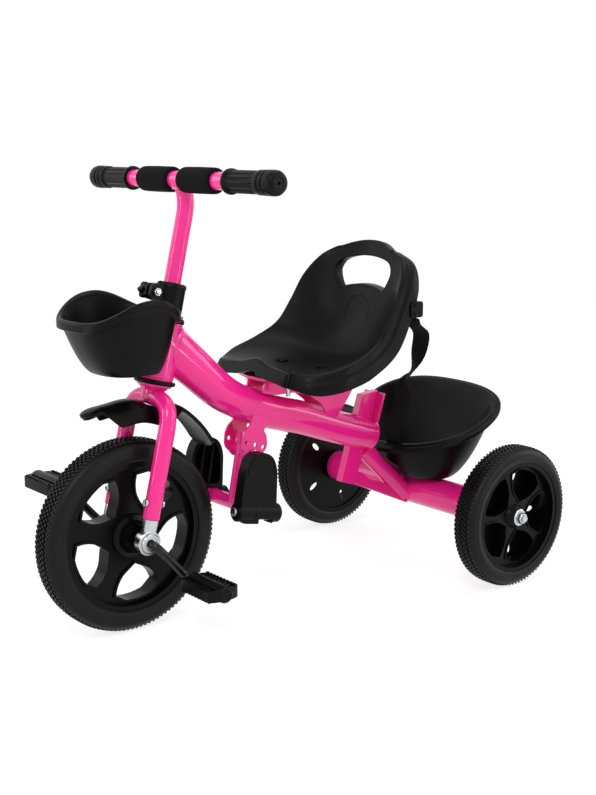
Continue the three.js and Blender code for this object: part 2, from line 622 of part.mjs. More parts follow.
// Fork: two legs bent into one arch, the steerer and its lower race
{
  const squarer = (value) => Math.sign(value) * Math.abs(value) ** (2 / 3);
  const arch = Array.from({ length: 11 }, (_, i) => {
    const angle = (Math.PI * i) / 10;
    return V(LEG_SPREAD * squarer(Math.cos(angle)), 0, CROWN_START + LEG_SPREAD * squarer(Math.sin(angle)));
  });
  const legPath = [V(LEG_SPREAD, 0, 30), ...arch, V(-LEG_SPREAD, 0, 30)];
  const legs = sweep(legPath, V(0, 1, 0), () => LEG_RADIUS, 12);
  const steerer = rod(V(0, 0, 178), V(0, 0, STEERER_TOP), STEERER_RADIUS, 16);
  const race = rod(V(0, 0, 195), V(0, 0, HEAD_BOTTOM - 5.5 - FIT), 23, 16);
  const bore = rod(V(0, 0, 196), V(0, 0, STEERER_TOP + 5), STEERER_BORE, 16);
  const sockets = both(rod(V(LEG_SPREAD, 0, 20), V(LEG_SPREAD, 0, 66), 8.2, 8));
  const bolts = both(rod(V(LEG_SPREAD, -20, 50), V(LEG_SPREAD, 20, 50), 2.9, 6));
  const guardHole = rod(V(0, 0, 160), V(0, 0, 184), 3.4, 8);
  const fork = cut(join(legs, steerer, race), bore, sockets, bolts, guardHole);
  add(steering, 'fork', fork, pinkPaint);

  const eye = turnedX([[-5, 0], [-5, 16], [8.5, 16], [8.5, 12.5], [11, 12.5], [11, 0]], 16);
  const shank = rod(V(0, 0, 12), V(0, 0, 62), 7.3, 8);
  const shoulder = rod(V(0, 0, 12), V(0, 0, 29.7), 9.5, 12, LEG_RADIUS - 1);
  const axleHole = rod(V(-10, 0, 0), V(20, 0, 0), CRANK_RADIUS + RUN, 12);
  const boltHole = rod(V(0, -20, 50), V(0, 20, 50), 2.9, 8);
  const forkEnd = cut(join(eye, shank, shoulder), axleHole, boltHole);
  const bolt = join(rod(V(0, -13, 50), V(0, 14, 50), 2.5, 8), rod(V(0, -14.5, 50), V(0, -11.4, 50), 5, 12),
    rod(V(0, 11.4, 50), V(0, 15, 50), 5, 6));
  for (const [name, sign] of [['left', 1], ['right', -1]]) {
    const side = (solid) => moved(sign > 0 ? solid : mirrored(solid), sign * LEG_SPREAD, 0, 0);
    add(steering, `fork_end_${name}`, side(forkEnd), zinc);
    add(steering, `fork_bolt_${name}`, side(bolt), zinc);
  }
}

// Front wheel, its bent crank and the pedals
{
  add(front, 'front_tyre', tyre(FRONT_RADIUS, FRONT_TYRE_WIDTH, FRONT_RIM_RADIUS), tyreFoam);
  add(front, 'front_wheel', spokedWheel(frontWheelSpec), blackPlastic);
  const arm = V(0, CRANK_THROW * Math.cos(CRANK_ANGLE), CRANK_THROW * Math.sin(CRANK_ANGLE));
  const reach = CRANK_PLANE + 12 + PEDAL_LENGTH - 4;
  const corners = [
    arm.clone().negate().setX(-reach), arm.clone().negate().setX(-CRANK_PLANE), V(-CRANK_PLANE, 0, 0),
    V(CRANK_PLANE, 0, 0), arm.clone().setX(CRANK_PLANE), arm.clone().setX(reach),
  ];
  const across = V(1, 0, 0).cross(arm).normalize();
  add(front, 'crank', sweep(bentPath(corners, 9, 3), across, () => CRANK_RADIUS, 10), blackSteel);
  const bush = pipe(V(0, 0, 0), V(9.3, 0, 0), 11.2, CRANK_RADIUS + RUN, 12);
  const bushX = frontWheelSpec.hubHalf + FIT;
  add(front, 'hub_bush_left', moved(bush, bushX, 0, 0), blackPlastic);
  add(front, 'hub_bush_right', mirrored(moved(bush, bushX, 0, 0)), blackPlastic);

  const half = PEDAL_LENGTH / 2;
  const treadOutline = [[-half, -22], [half - 6, -26], [half, -10], [half, 10], [half - 6, 26], [-half, 22]];
  const tread = plateZ(rounded(treadOutline, 8), -9, 9);
  const boss = rod(V(-half, 0, 0), V(half + 1.5, 0, 0), 11, 14);
  const gaps = [];
  for (const y of [-15.5, 15.5]) {
    for (const x of [-21, 0, 21]) {
      gaps.push(box(x - 8, x + 8, y - 3, y + 3, -12, 12));
    }
  }
  const bore = rod(V(-half - 1, 0, 0), V(half - 2, 0, 0), CRANK_RADIUS + RUN, 12);
  const pedal = cut(join(tread, boss), ...gaps, bore);
  for (const [name, sign] of [['left', 1], ['right', -1]]) {
    const solid = sign > 0 ? pedal : mirrored(pedal);
    const mesh = add(front, `pedal_${name}`, solid, blackPlastic);
    mesh.position.set(sign * (CRANK_PLANE + 12 + half), sign * arm.y, sign * arm.z);
  }
}

// Mudguard on the crown
{
  const radius = 178;
  const last = 12;
  const stations = Array.from({ length: last + 1 }, (_, i) => THREE.MathUtils.degToRad(112 - (77 * i) / last));
  const crown = THREE.MathUtils.degToRad(81);
  const sections = stations.map((angle, i) => {
    const t = Math.min(i, last - i);
    const halfWidth = 30 * Math.min(1, 0.6 + 0.3 * t);
    const saddle = 24 * Math.exp(-(((angle - crown) / 0.13) ** 2));
    const top = [[-1, 5], [-0.75, 1.2], [0, 0], [0.75, 1.2], [1, 5]];
    const at = (k, drop) => {
      const r = radius - saddle - drop;
      return V(halfWidth * k, 14 + r * Math.cos(angle), r * Math.sin(angle));
    };
    const under = [...top].reverse().map(([k, drop]) => at(k * 0.97, drop + 3));
    return [...top.map(([k, drop]) => at(k, drop)), ...under];
  });
  const lift = (s) => V(0, s * Math.sin(LEAN), s * Math.cos(LEAN));
  const boss = rod(lift(154), lift(169.2), 8, 12);
  const hole = rod(lift(130), lift(200), 3.4, 10);
  add(front, 'mudguard', cut(join(loft(sections), boss), hole), blackPlastic);
  const screw = join(rod(V(0, 0, 149), V(0, 0, 182), 3, 10), rod(V(0, 0, 146), V(0, 0, 149.2), 6, 6));
  add(steering, 'mudguard_bolt', screw, zinc);
}

// Clamp collar with its knob
{
  const bottom = HEAD_TOP + 8 + 4;
  const top = STEERER_TOP + 4;
  const bolt = [-27, 313.7];
  const outer = 17.6;
  const collar = turnedZ([
    [bottom, STEERER_RADIUS + FIT], [bottom, outer], [top - 4, outer], [top - 1, outer - 1.5], [top, outer - 4],
    [top, STEM_RADIUS + RUN], [STEERER_TOP + FIT, STEM_RADIUS + RUN], [STEERER_TOP + FIT, STEERER_RADIUS + FIT],
  ], 14);
  const ear = plateX(rounded([[-35, 304], [-35, 323], [-13, 326], [-13, 301]], 5), 2.5, 8.5);
  const inside = rod(V(0, 0, bottom - 5), V(0, 0, STEERER_TOP + FIT), STEERER_RADIUS + FIT, 16);
  const hole = rod(V(-20, ...bolt), V(20, ...bolt), 3.4, 10);
  const slit = box(-2.5, 2.5, -40, -10, bottom - 5, top + 5);
  add(steering, 'stem_clamp', cut(join(collar, both(ear)), inside, slit, hole), blackPlastic);
  const nut = cut(plateX(hexagon(5.5), 8.8, 13), rod(V(0, 0, 0), V(20, 0, 0), 3.4, 10));
  add(steering, 'clamp_nut', moved(nut, 0, ...bolt), zinc);
  const lobes = new THREE.Shape(Array.from({ length: 24 }, (_, i) => {
    const angle = (2 * Math.PI * i) / 24;
    const r = 9.6 + 1.2 * Math.cos(6 * angle);
    return new THREE.Vector2(r * Math.cos(angle), r * Math.sin(angle));
  }));
  const knob = join(plateX(lobes, -21, -9.2), rod(V(-9.5, 0, 0), V(15, 0, 0), 3, 10));
  add(steering, 'clamp_knob', knob, blackPlastic).position.set(0, ...bolt);
}

// Handlebar, foam pads and grips
{
  const bar = rod(V(-BAR_HALF, BAR_Y, BAR_Z), V(BAR_HALF, BAR_Y, BAR_Z), BAR_RADIUS, 16);
  const bend = new THREE.QuadraticBezierCurve3(onAxis(416.5), onAxis(443), V(0, BAR_Y, BAR_Z)).getPoints(6);
  const stem = sweep([onAxis(250), ...bend], V(1, 0, 0), () => STEM_RADIUS, 16);
  add(frame, 'handlebar', join(bar, stem), pinkPaint);
  const bore = BAR_RADIUS + FIT;
  const pad = turnedX([[13, bore], [13, 14], [16, 15.6], [44, 16.4], [73, 15.6], [76, 14], [76, bore]], 14);
  const grip = turnedX([
    [108, bore], [108, 16], [113, 16], [118, 12.4], [165, 12.4], [168, 15],
    [BAR_HALF, 15], [BAR_HALF + 5, 11], [BAR_HALF + 5, 0], [BAR_HALF + FIT, 0],
    [BAR_HALF + FIT, bore],
  ], 12);
  const flutes = new THREE.Shape(Array.from({ length: 12 }, (_, i) => {
    const angle = (2 * Math.PI * i) / 12;
    const r = i % 2 === 0 ? 12.9 : 14;
    return new THREE.Vector2(r * Math.cos(angle), r * Math.sin(angle));
  }));
  const ribbed = cut(plateX(flutes, 114, 168), rod(V(100, 0, 0), V(200, 0, 0), bore + 0.2, 12));
  const gripBody = cut(join(grip, ribbed), rod(V(200, 0, 0), V(215, 0, 0), 2, 8));
  for (const [name, sign] of [['left', 1], ['right', -1]]) {
    const side = (solid) => (sign > 0 ? solid : mirrored(solid));
    add(frame, `foam_pad_${name}`, side(pad), blackFoam).position.set(0, BAR_Y, BAR_Z);
    add(frame, `grip_${name}`, side(gripBody), blackRubber).position.set(0, BAR_Y, BAR_Z);
  }
}

// Front basket and the bracket that holds it to the steerer
{
  const rimHeight = (x, y) => {
    const side = (Math.abs(x) / 66) ** 2;
    return 410 + 24 * side * Math.max(0, Math.cos((y - 3) / 46)) ** 0.8;
  };
  const wallY = -30;
  const basket = basketShell({
    base: { y: 3, halfX: 44, halfY: 35 }, rim: { y: -5, halfX: 68, halfY: 67 },
    rimHeight, floor: 338, lip: 4, lipHeight: 9, power: 2.6, bulge: 0.6,
    notch: (grow) => {
      const slab = new THREE.BoxGeometry(62 + 2 * grow, 200, 600);
      slab.translate(0, wallY - grow + 100, 250);
      slab.rotateX(-LEAN);
      slab.translate(0, 0, FRONT_RADIUS);
      return solidOf(slab);
    },
  });
  add(frame, 'front_basket', basket, blackPlastic);
  const s = HEAD_TOP + 8 + FIT;
  const ringHole = rod(V(0, 0, s - 5), V(0, 0, s + 8), STEERER_RADIUS + FIT + 0.2, 16);
  const hookY = wallY + FIT;
  const ringOutline = [[-10, hookY], [10, hookY], [20, -5], [20, 12], [8, 21], [-8, 21], [-20, 12], [-20, -5]];
  const plate = plateZ(rounded(ringOutline, 5), s, s + 3);
  const tab = box(-10, 10, hookY, hookY + 2.5, s - 32, s + 3);
  add(steering, 'basket_bracket', cut(join(plate, tab), ringHole), zinc);
}

// Seat and its bracket
{
  const onTube = (y, rise) => [y, tubeHeight(y) + rise];
  const side = plateX([
    [212, 304.5], [206, 290], [230, 284], [262, 284], [290, 277], onTube(312, 27), onTube(324, 12),
    onTube(339, 12), [362, 264], [380, 290], [380, 304.5],
  ], 17, 20);
  const outline = [[-56, 222], [-24, 212], [24, 212], [56, 222], [56, 303], [24, 380], [-24, 380], [-56, 303]];
  const top = plateZ(rounded(outline, 6), SEAT_PLATE_TOP - 4, SEAT_PLATE_TOP);
  const holes = SEAT_BOLT_Y.flatMap((y) => [-1, 1].map((sign) =>
    rod(V(sign * SEAT_BOLT_X, y, 290), V(sign * SEAT_BOLT_X, y, 320), 3.6, 8)));
  const folded = join(top, both(side));
  add(frame, 'seat_bracket', cut(folded, mainTube(FIT), upright(FIT), ...holes), pinkPaint);
  add(frame, 'seat', seatShell(), blackPlastic);
  const bolt = join(
    rod(V(0, 0, 286), V(0, 0, 315), 3, 8), rod(V(0, 0, 314.5), V(0, 0, 317.5), 5.5, 8),
    plateZ(hexagon(5.6), 296, 303.7),
  );
  const corners = SEAT_BOLT_Y.flatMap((y) => [[-SEAT_BOLT_X, y], [SEAT_BOLT_X, y]]);
  corners.forEach(([x, y], i) => add(frame, `seat_bolt_${i + 1}`, bolt, zinc).position.set(x, y, 0));
}

// Safety strap: flat webbing that hangs from a clip on the edge of the seat's back
{
  const clipBox = [95, 119, 389, 411, 387, 409];
  const shell = seatSolid(WALL);
  const shifts = [[0, FIT, 0], [0, -FIT, 0], [FIT, 0, 0], [-FIT, 0, 0], [0, 0, FIT], [0, 0, -FIT]];
  const shells = shifts.map((shift) => moved(shell, ...shift));
  add(frame, 'strap_clip', cut(box(...clipBox), ...shells), blackPlastic);
  const route = new THREE.CatmullRomCurve3([
    V(107, 403, clipBox[4] - 2 * FIT), V(104, 409, 376), V(95, 432, 359), V(85, 437, 331), V(75, 434, 303),
    V(65, 431, 285), V(57, ahead(78), 258), V(44, ahead(78), 232), V(28, ahead(73), 210), V(20, ahead(63), 190),
    V(18, ahead(58), 177),
  ]);
  const section = (value) => () => value / 2 / Math.cos(Math.PI / 8);
  const strap = sweep(route.getSpacedPoints(20), V(1, 0, 0), section(STRAP_THICKNESS), 8, section(STRAP_WIDTH));
  add(frame, 'strap', strap, webbing);
}

// Rear basket
{
  const rimHeight = (x, y) =>
    196 + 0.2 * (Math.min(y, ahead(5)) - ahead(75)) + 45 * THREE.MathUtils.smoothstep(y, ahead(20), ahead(-75));
  const basket = basketShell({
    base: { y: ahead(28), halfX: 72, halfY: 52 }, rim: { y: ahead(-14), halfX: 118, halfY: BASKET_REACH - 19 },
    rimHeight, floor: 126.5, lip: 5, lipHeight: 9, power: 3, bulge: 0.8,
    notch: (grow) => plateX([
      [ahead(115), 90], [ahead(115), 230 + grow], [ahead(83) + grow, 230 + grow],
      [ahead(69) + grow, 166 + grow], [ahead(45) + grow, 160 + grow], [ahead(10) + grow, 126.4 + grow], [ahead(0) + grow, 90],
    ], -20 - grow, 20 + grow),
  });
  add(frame, 'rear_basket', cut(basket, upright(1), mainTube(1)), blackPlastic);
}

// Footrest
{
  const earOutline = [[174, 262], [168, 226], [180, 197], [198, 197], [221, 226], [217, 262]];
  const ear = plateX(rounded(earOutline, 12), 18.5, 21.5);
  const pivot = [187, 208];
  const holeAt = ([y, z], r) => rod(V(-40, y, z), V(40, y, z), r, 8);
  const indexHoles = [[178, 225], [193, 220], [206, 215]];
  const holed = cut(ear, mainTube(FIT), holeAt(pivot, 4.3), ...indexHoles.map((at) => holeAt(at, 3)));
  add(frame, 'footrest_bracket_left', holed, pinkPaint);
  add(frame, 'footrest_bracket_right', mirrored(holed), pinkPaint);
  const shank = holeAt(pivot, 4).intersect(box(-26, 26, 150, 250, 150, 250));
  const heads = both(plateX(hexagon(7), 21.8, 26)).translate([0, ...pivot]);
  const bolt = join(shank, heads);
  add(frame, 'footrest_bolt', bolt, zinc);

  const footrest = new THREE.Group();
  footrest.position.set(0, ...pivot);
  footrest.rotation.x = -THREE.MathUtils.degToRad(11);
  frame.add(footrest);
  const drop = -72;
  const hingeX = 60;
  const stem = rod(V(0, 0, 25), V(0, 0, drop), 10.5, 14);
  const sleeve = rod(V(-18.2, 0, 0), V(18.2, 0, 0), 9, 14);
  const cross = rod(V(-hingeX, 0, drop), V(hingeX, 0, drop), 10, 14);
  const barrel = both(rod(V(hingeX, -22, drop), V(hingeX, 24, drop), 10, 14));
  const bores = both(rod(V(hingeX, -60, drop), V(hingeX, 60, drop), 3.4, 8));
  const pivotBore = rod(V(-40, 0, 0), V(40, 0, 0), 4.7, 8);
  add(footrest, 'footrest_frame', cut(join(stem, sleeve, cross, barrel), pivotBore, bores), pinkPaint);

  // Each footplate is a tray with a rim; it stands upright when it is folded away.
  const paddle = rounded([
    [-44, -14], [-42, 10], [-36, 62], [-18, 84], [10, 84], [30, 62], [33, 10], [33, -14],
  ], 12);
  const trayFloor = rounded([[-37, 16], [-33, 58], [-16, 79], [8, 79], [26, 60], [29, 16]], 12);
  const body = cut(plateX(paddle, -7, 8), plateX(trayFloor, -8, 4.5));
  const inTray = plateX(trayFloor, -8, 6);
  const ribs = [-22, -4, 14].map((y) => box(-3, 5, y - 1.2, y + 1.2, 14, 76).intersect(inTray));
  const cover = box(-7, 13, -43, 32, -13, 13);
  // Clearance for the barrel, and for the cross tube at every angle of the fold
  const room = join(
    rod(V(0, -22.3, 0), V(0, 24.3, 0), 10.7, 14), box(-20, 4, -11, 11, -20, 11), box(-20, 20, -11, 11, -20, -1),
  );
  const plate = cut(join(body, cover, ...ribs), rod(V(0, -60, 0), V(0, 60, 0), 3.4, 10), room);
  const screw = join(rod(V(0, -46, 0), V(0, 33, 0), 3, 10), rod(V(0, -49, 0), V(0, -45, 0), 6, 10));
  for (const [name, sign] of [['left', 1], ['right', -1]]) {
    const side = (solid) => (sign > 0 ? solid : mirrored(solid));
    add(footrest, `footplate_${name}`, side(plate), blackPlastic).position.set(sign * hingeX, 0, drop);
    add(footrest, `footplate_screw_${name}`, side(screw), zinc).position.set(sign * hingeX, 0, drop);
  }
}

export default tricycle;
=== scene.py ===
# %% [markdown]
# # A child's tricycle
# The CAD model is the frame of this scene: its tubes, wheels and joints are already in place. Here each
# piece gets the smooth surface and the finish that the real one has. We work in millimetres measured
# from the ground below the front hub, as a bicycle maker would, and turn them to metres in one place.

# %% Load the frame
import json
import math

import bmesh
import bpy
from mathutils import Matrix, Vector
from mathutils.bvhtree import BVHTree

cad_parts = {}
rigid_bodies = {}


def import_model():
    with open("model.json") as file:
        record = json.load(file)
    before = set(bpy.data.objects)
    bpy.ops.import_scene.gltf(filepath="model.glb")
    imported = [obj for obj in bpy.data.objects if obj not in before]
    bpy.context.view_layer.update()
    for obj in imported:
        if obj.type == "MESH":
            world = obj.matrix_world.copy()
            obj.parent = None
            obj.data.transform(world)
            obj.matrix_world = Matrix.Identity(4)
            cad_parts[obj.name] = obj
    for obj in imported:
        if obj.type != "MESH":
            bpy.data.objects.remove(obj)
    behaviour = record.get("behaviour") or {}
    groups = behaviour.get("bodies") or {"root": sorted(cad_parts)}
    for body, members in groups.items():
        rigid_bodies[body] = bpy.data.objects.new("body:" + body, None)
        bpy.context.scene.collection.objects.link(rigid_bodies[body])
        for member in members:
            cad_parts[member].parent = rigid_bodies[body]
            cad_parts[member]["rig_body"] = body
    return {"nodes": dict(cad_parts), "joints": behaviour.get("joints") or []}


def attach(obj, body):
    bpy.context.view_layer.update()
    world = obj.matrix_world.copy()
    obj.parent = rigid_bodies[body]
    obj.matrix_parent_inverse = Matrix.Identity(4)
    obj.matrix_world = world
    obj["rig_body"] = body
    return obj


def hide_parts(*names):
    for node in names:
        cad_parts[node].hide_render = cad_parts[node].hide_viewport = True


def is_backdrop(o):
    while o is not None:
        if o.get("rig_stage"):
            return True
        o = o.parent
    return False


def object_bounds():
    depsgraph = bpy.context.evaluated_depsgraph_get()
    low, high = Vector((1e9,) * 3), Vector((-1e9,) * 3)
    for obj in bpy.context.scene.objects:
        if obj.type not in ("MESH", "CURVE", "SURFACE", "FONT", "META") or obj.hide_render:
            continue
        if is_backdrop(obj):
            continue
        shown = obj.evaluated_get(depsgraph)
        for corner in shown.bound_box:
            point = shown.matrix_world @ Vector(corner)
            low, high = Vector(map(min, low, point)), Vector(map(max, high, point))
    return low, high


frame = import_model()
cad_low, cad_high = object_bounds()
MM = 0.001
joint = {j["name"]: j for j in frame["joints"]}
HUB = Vector(joint["steering"]["pos_m"])
STEERING_AXIS = Vector(joint["steering"]["axis"])
LEAN = math.atan2(STEERING_AXIS.y, STEERING_AXIS.z)


def spot(x, y, z):
    """A place in millimetres from the ground below the front hub."""
    return Vector((x * MM, HUB.y + y * MM, z * MM))


def on_stem(x, y, s):
    """A place on the leaning steering parts: s runs up the steering axis from the hub."""
    return HUB + Matrix.Rotation(-LEAN, 3, "X") @ Vector((x, y, s)) * MM


print("box of the CAD model:", [round(v, 3) for v in cad_high - cad_low])

# %% [markdown]
# ## Camera, light and floor
# The tricycle stands in a white studio. A long lens from the front left, a little above the seat, keeps
# the wheels nearly round. Soft lamps give the long highlights that show that the tubes are round, and two
# narrow upright strips draw the bright streaks down the fork and the head. No lamp is seen by the camera.

# %% Camera
CAMERA_AZIMUTH, CAMERA_ELEVATION = math.radians(50.75), math.radians(11.16)
CAMERA_DISTANCE = 1668.6
camera = bpy.data.objects.new("camera", bpy.data.cameras.new("camera"))
bpy.context.scene.collection.objects.link(camera)
camera.data.lens = 57.98
camera.data.sensor_width = 36
camera.data.clip_end = 50
looked_at = spot(104.1, 200, 297.5)
towards_camera = Vector((
    math.sin(CAMERA_AZIMUTH) * math.cos(CAMERA_ELEVATION),
    -math.cos(CAMERA_AZIMUTH) * math.cos(CAMERA_ELEVATION),
    math.sin(CAMERA_ELEVATION),
))
camera.location = looked_at + towards_camera * CAMERA_DISTANCE * MM
camera.rotation_euler = (-towards_camera).to_track_quat("-Z", "Y").to_euler()
bpy.context.scene.camera = camera
bpy.context.scene.view_settings.view_transform = "Standard"


# %% A helper that adds one node
def node(tree, kind, settings=None, **links):
    """Adds a node. settings holds its attributes; links holds what goes into its sockets."""
    made = tree.nodes.new(kind)
    for key, value in (settings or {}).items():
        setattr(made, key, value)
    for key, value in links.items():
        name = key.replace("_", " ")
        socket = made.inputs[int(name[3:])] if name.startswith("in ") else made.inputs[name]
        if isinstance(value, bpy.types.NodeSocket):
            tree.links.new(value, socket)
        else:
            socket.default_value = value
    return made


def linear(colour):
    """An sRGB hex colour as linear red, green, blue and alpha."""
    parts = [int(colour[i:i + 2], 16) / 255 for i in (1, 3, 5)]
    return [c / 12.92 if c <= 0.04045 else ((c + 0.055) / 1.055) ** 2.4 for c in parts] + [1.0]


# %% Lamps
def lamp(name, place, aim, width, height, power):
    """A rectangular lamp of so many watts at a place, turned towards aim. Its sides are in metres."""
    data = bpy.data.lights.new(name, "AREA")
    data.shape, data.size, data.size_y, data.energy = "RECTANGLE", width, height, power
    made = bpy.data.objects.new(name, data)
    made.location = place
    made.rotation_euler = (aim - place).to_track_quat("-Z", "Y").to_euler()
    made.visible_camera = False
    bpy.context.scene.collection.objects.link(made)


middle = (cad_low + cad_high) / 2
lamp("key_lamp", middle + Vector((1.5, -1.6, 1.9)), middle, 0.5, 1.0, 21)
lamp("side_lamp", middle + Vector((-1.9, -1.3, 1.1)), middle, 0.5, 1.6, 6)
lamp("top_lamp", middle + Vector((0.2, 0.5, 2.4)), middle, 1.2, 1.2, 15)
STRIP_HEIGHT = 0.62
strip_aim = Vector((middle.x, middle.y, STRIP_HEIGHT))
for name, x, y, power in (("left_strip", -0.43, -1.70, 6.5), ("right_strip", 1.58, 0.76, 4.5)):
    lamp(name, strip_aim + Vector((x, y, 0)), strip_aim, 0.16, 1.2, power)
lamp("back_lamp", middle + Vector((1.2, 2.2, 0.8)), middle, 0.8, 1.4, 12)

# %% World and floor
def ray_is(tree, *kinds):
    """1 where the ray is of one of these kinds, and 0 elsewhere."""
    rays = node(tree, "ShaderNodeLightPath").outputs
    seen = rays[kinds[0]]
    for kind in kinds[1:]:
        seen = node(tree, "ShaderNodeMath", {"operation": "MAXIMUM"}, in_0=seen, in_1=rays[kind]).outputs[0]
    return seen


ROOM_LIGHT = 0.62  # strength of the even light from the room; the camera sees plain white instead
world = bpy.data.worlds.new("studio")
bpy.context.scene.world = world
world.use_nodes = True
tree = world.node_tree
tree.nodes.clear()
seen = ray_is(tree, "Is Camera Ray", "Is Glossy Ray", "Is Transmission Ray")
room = node(tree, "ShaderNodeBackground", Color=linear("#ffffff"), Strength=ROOM_LIGHT)
white = node(tree, "ShaderNodeBackground", Color=linear("#ffffff"), Strength=1.0)
mix = node(tree, "ShaderNodeMixShader", in_0=seen, in_1=room.outputs[0], in_2=white.outputs[0])
node(tree, "ShaderNodeOutputWorld", Surface=mix.outputs[0])

FLOOR_HALF, FLOOR_HEIGHT = 7.0, -0.0004
GLOW, GLOW_SHARE = 1.3, 0.6  # the floor glows a little, so that it stays white round a soft shadow
floor_mesh = bpy.data.meshes.new("floor")
floor_mesh.from_pydata([(x * FLOOR_HALF, y * FLOOR_HALF, FLOOR_HEIGHT)
                        for x, y in ((-1, -1), (1, -1), (1, 1), (-1, 1))],
                       [], [(0, 1, 2, 3)])
floor = bpy.data.objects.new("floor", floor_mesh)
bpy.context.scene.collection.objects.link(floor)
floor_paint = bpy.data.materials.new("white_studio_floor")
floor_paint.use_nodes = True
tree = floor_paint.node_tree
tree.nodes.clear()
seen = ray_is(tree, "Is Camera Ray", "Is Glossy Ray")
paint = node(tree, "ShaderNodeBsdfDiffuse", Color=linear("#f4f4f4"))
glow = node(tree, "ShaderNodeEmission", Color=linear("#ffffff"), Strength=GLOW)
veil = node(tree, "ShaderNodeMixShader", in_0=GLOW_SHARE, in_1=paint.outputs[0], in_2=glow.outputs[0])
mix = node(tree, "ShaderNodeMixShader", in_0=seen, in_1=paint.outputs[0], in_2=veil.outputs[0])
node(tree, "ShaderNodeOutputMaterial", Surface=mix.outputs[0])
floor_mesh.materials.append(floor_paint)
floor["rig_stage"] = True

# %% [markdown]
# ## Finishes
# A tricycle has few materials: powder-coated steel, moulded polypropylene, EVA foam, rubber, zinc-plated
# steel and polyester webbing. Each one is a Principled shader with its own grain in the bump. The grain
# reads Object coordinates, which are metres here, so a scale of 1000 is one pattern cell in a millimetre.


# %% A material with two sizes of grain
def finish(name, colour, roughness, grain_mm, grain_depth_mm, coarse_mm=40, spread=0.04, shade=0.88, **settings):
    """A Principled material. Fine noise makes the bump; coarse noise varies gloss and colour a little."""
    material = bpy.data.materials.new(name)
    material.use_nodes = True
    tree = material.node_tree
    shader = tree.nodes["Principled BSDF"]
    place = node(tree, "ShaderNodeTexCoord").outputs["Object"]
    fine = node(tree, "ShaderNodeTexNoise", Vector=place, Scale=1 / (grain_mm * MM), Detail=2.0, Roughness=0.5)
    coarse = node(tree, "ShaderNodeTexNoise", Vector=place, Scale=1 / (coarse_mm * MM), Detail=4.0, Roughness=0.6)
    bump = node(tree, "ShaderNodeBump", Height=fine.outputs["Fac"], Strength=1.0, Distance=grain_depth_mm * MM)
    gloss = node(tree, "ShaderNodeMapRange", Value=coarse.outputs["Fac"], in_3=roughness - spread,
                 in_4=roughness + spread)
    dark = [c * shade for c in linear(colour)[:3]] + [1.0]
    tint = node(tree, "ShaderNodeMix", {"data_type": "RGBA"}, Factor=coarse.outputs["Fac"])
    tint.inputs[6].default_value, tint.inputs[7].default_value = dark, linear(colour)
    tree.links.new(bump.outputs[0], shader.inputs["Normal"])
    tree.links.new(gloss.outputs[0], shader.inputs["Roughness"])
    tree.links.new(tint.outputs[2], shader.inputs["Base Color"])
    for key, value in settings.items():
        shader.inputs[key.replace("_", " ")].default_value = value
    return material


# %% The tricycle's finishes
# Polyester powder coat: a thick gloss film with slight orange peel.
powder_coat = finish("pink_powder_coat", "#f2218c", 0.3, 2.2, 0.004, shade=0.96, Specular_IOR_Level=0.12,
                     Coat_Weight=0.7, Coat_Roughness=0.06)
# Polypropylene from a spark-eroded mould: satin black with a fine grain.
moulded_plastic = finish("moulded_polypropylene", "#0d0d0e", 0.36, 0.9, 0.02, Specular_IOR_Level=0.09)
# Glass-filled nylon or hard PP of wheels and mudguard: smoother, with a brighter edge light.
wheel_plastic = finish("hard_black_plastic", "#080809", 0.3, 1.6, 0.012, Specular_IOR_Level=0.1)
# EVA foam of the tyres: closed cells show as a dull fine pitting.
tyre_foam = finish("moulded_eva_foam", "#0e0e0e", 0.42, 1.1, 0.03, Specular_IOR_Level=0.16)
# Nitrile foam sleeves on the bar: soft, nearly without gloss.
sleeve_foam = finish("bar_foam", "#101010", 0.85, 0.8, 0.08, Specular_IOR_Level=0.08)
# PVC rubber of the grips.
grip_rubber = finish("grip_rubber", "#0d0d0d", 0.4, 0.7, 0.02, Specular_IOR_Level=0.1)
# Bright zinc plate over rolled or pressed steel.
zinc_plate = finish("bright_zinc_plate", "#c9ccd1", 0.26, 1.5, 0.01, shade=0.8, Metallic=1.0)
# Black oxide on the bent crank rod.
black_steel = finish("black_crank_steel", "#0c0c0e", 0.3, 1.2, 0.01, Specular_IOR_Level=0.3)
# Woven polyester webbing: crossed waves a millimetre or two apart stand for the ribs of the weave.
webbing = finish("polyester_webbing", "#0e0e0f", 0.75, 0.6, 0.05, Specular_IOR_Level=0.1, Sheen_Weight=0.03)


def add_weave(material, across_mm=2.4, along_mm=1.3, depth_mm=0.35):
    """Puts the ribs of a weave over a material's own grain."""
    tree = material.node_tree
    shader, bump = tree.nodes["Principled BSDF"], tree.nodes["Bump"]
    place = tree.nodes["Texture Coordinate"].outputs["Object"]
    across, along = (
        node(tree, "ShaderNodeTexWave", {"bands_direction": direction}, Vector=place,
             Scale=0.05 / (cell_mm * MM) * 2 * math.pi, Distortion=0.2).outputs["Fac"]
        for direction, cell_mm in (("X", across_mm), ("Z", along_mm)))
    both = node(tree, "ShaderNodeMath", {"operation": "MULTIPLY"}, in_0=across, in_1=along)
    ribs = node(tree, "ShaderNodeBump", Height=both.outputs[0], Strength=1.0, Distance=depth_mm * MM,
                Normal=bump.outputs[0])
    tree.links.new(ribs.outputs[0], shader.inputs["Normal"])


add_weave(webbing)
print("finishes:", len(bpy.data.materials))

# %% [markdown]
# ## Ways to make a shape
# Nearly everything on a tricycle is a turned form, a bent tube, a bent plate or a moulded shell. One short
# function makes each kind from points in metres. Booleans cut the holes, as a drill or a mould would.


# %% A mesh object from points and faces
ORIGIN = Vector((0, 0, 0))
SIDES = (("left", 1), ("right", -1))
CORE = 0.01  # radius in millimetres at the core of a turned form, so that its ends are closed


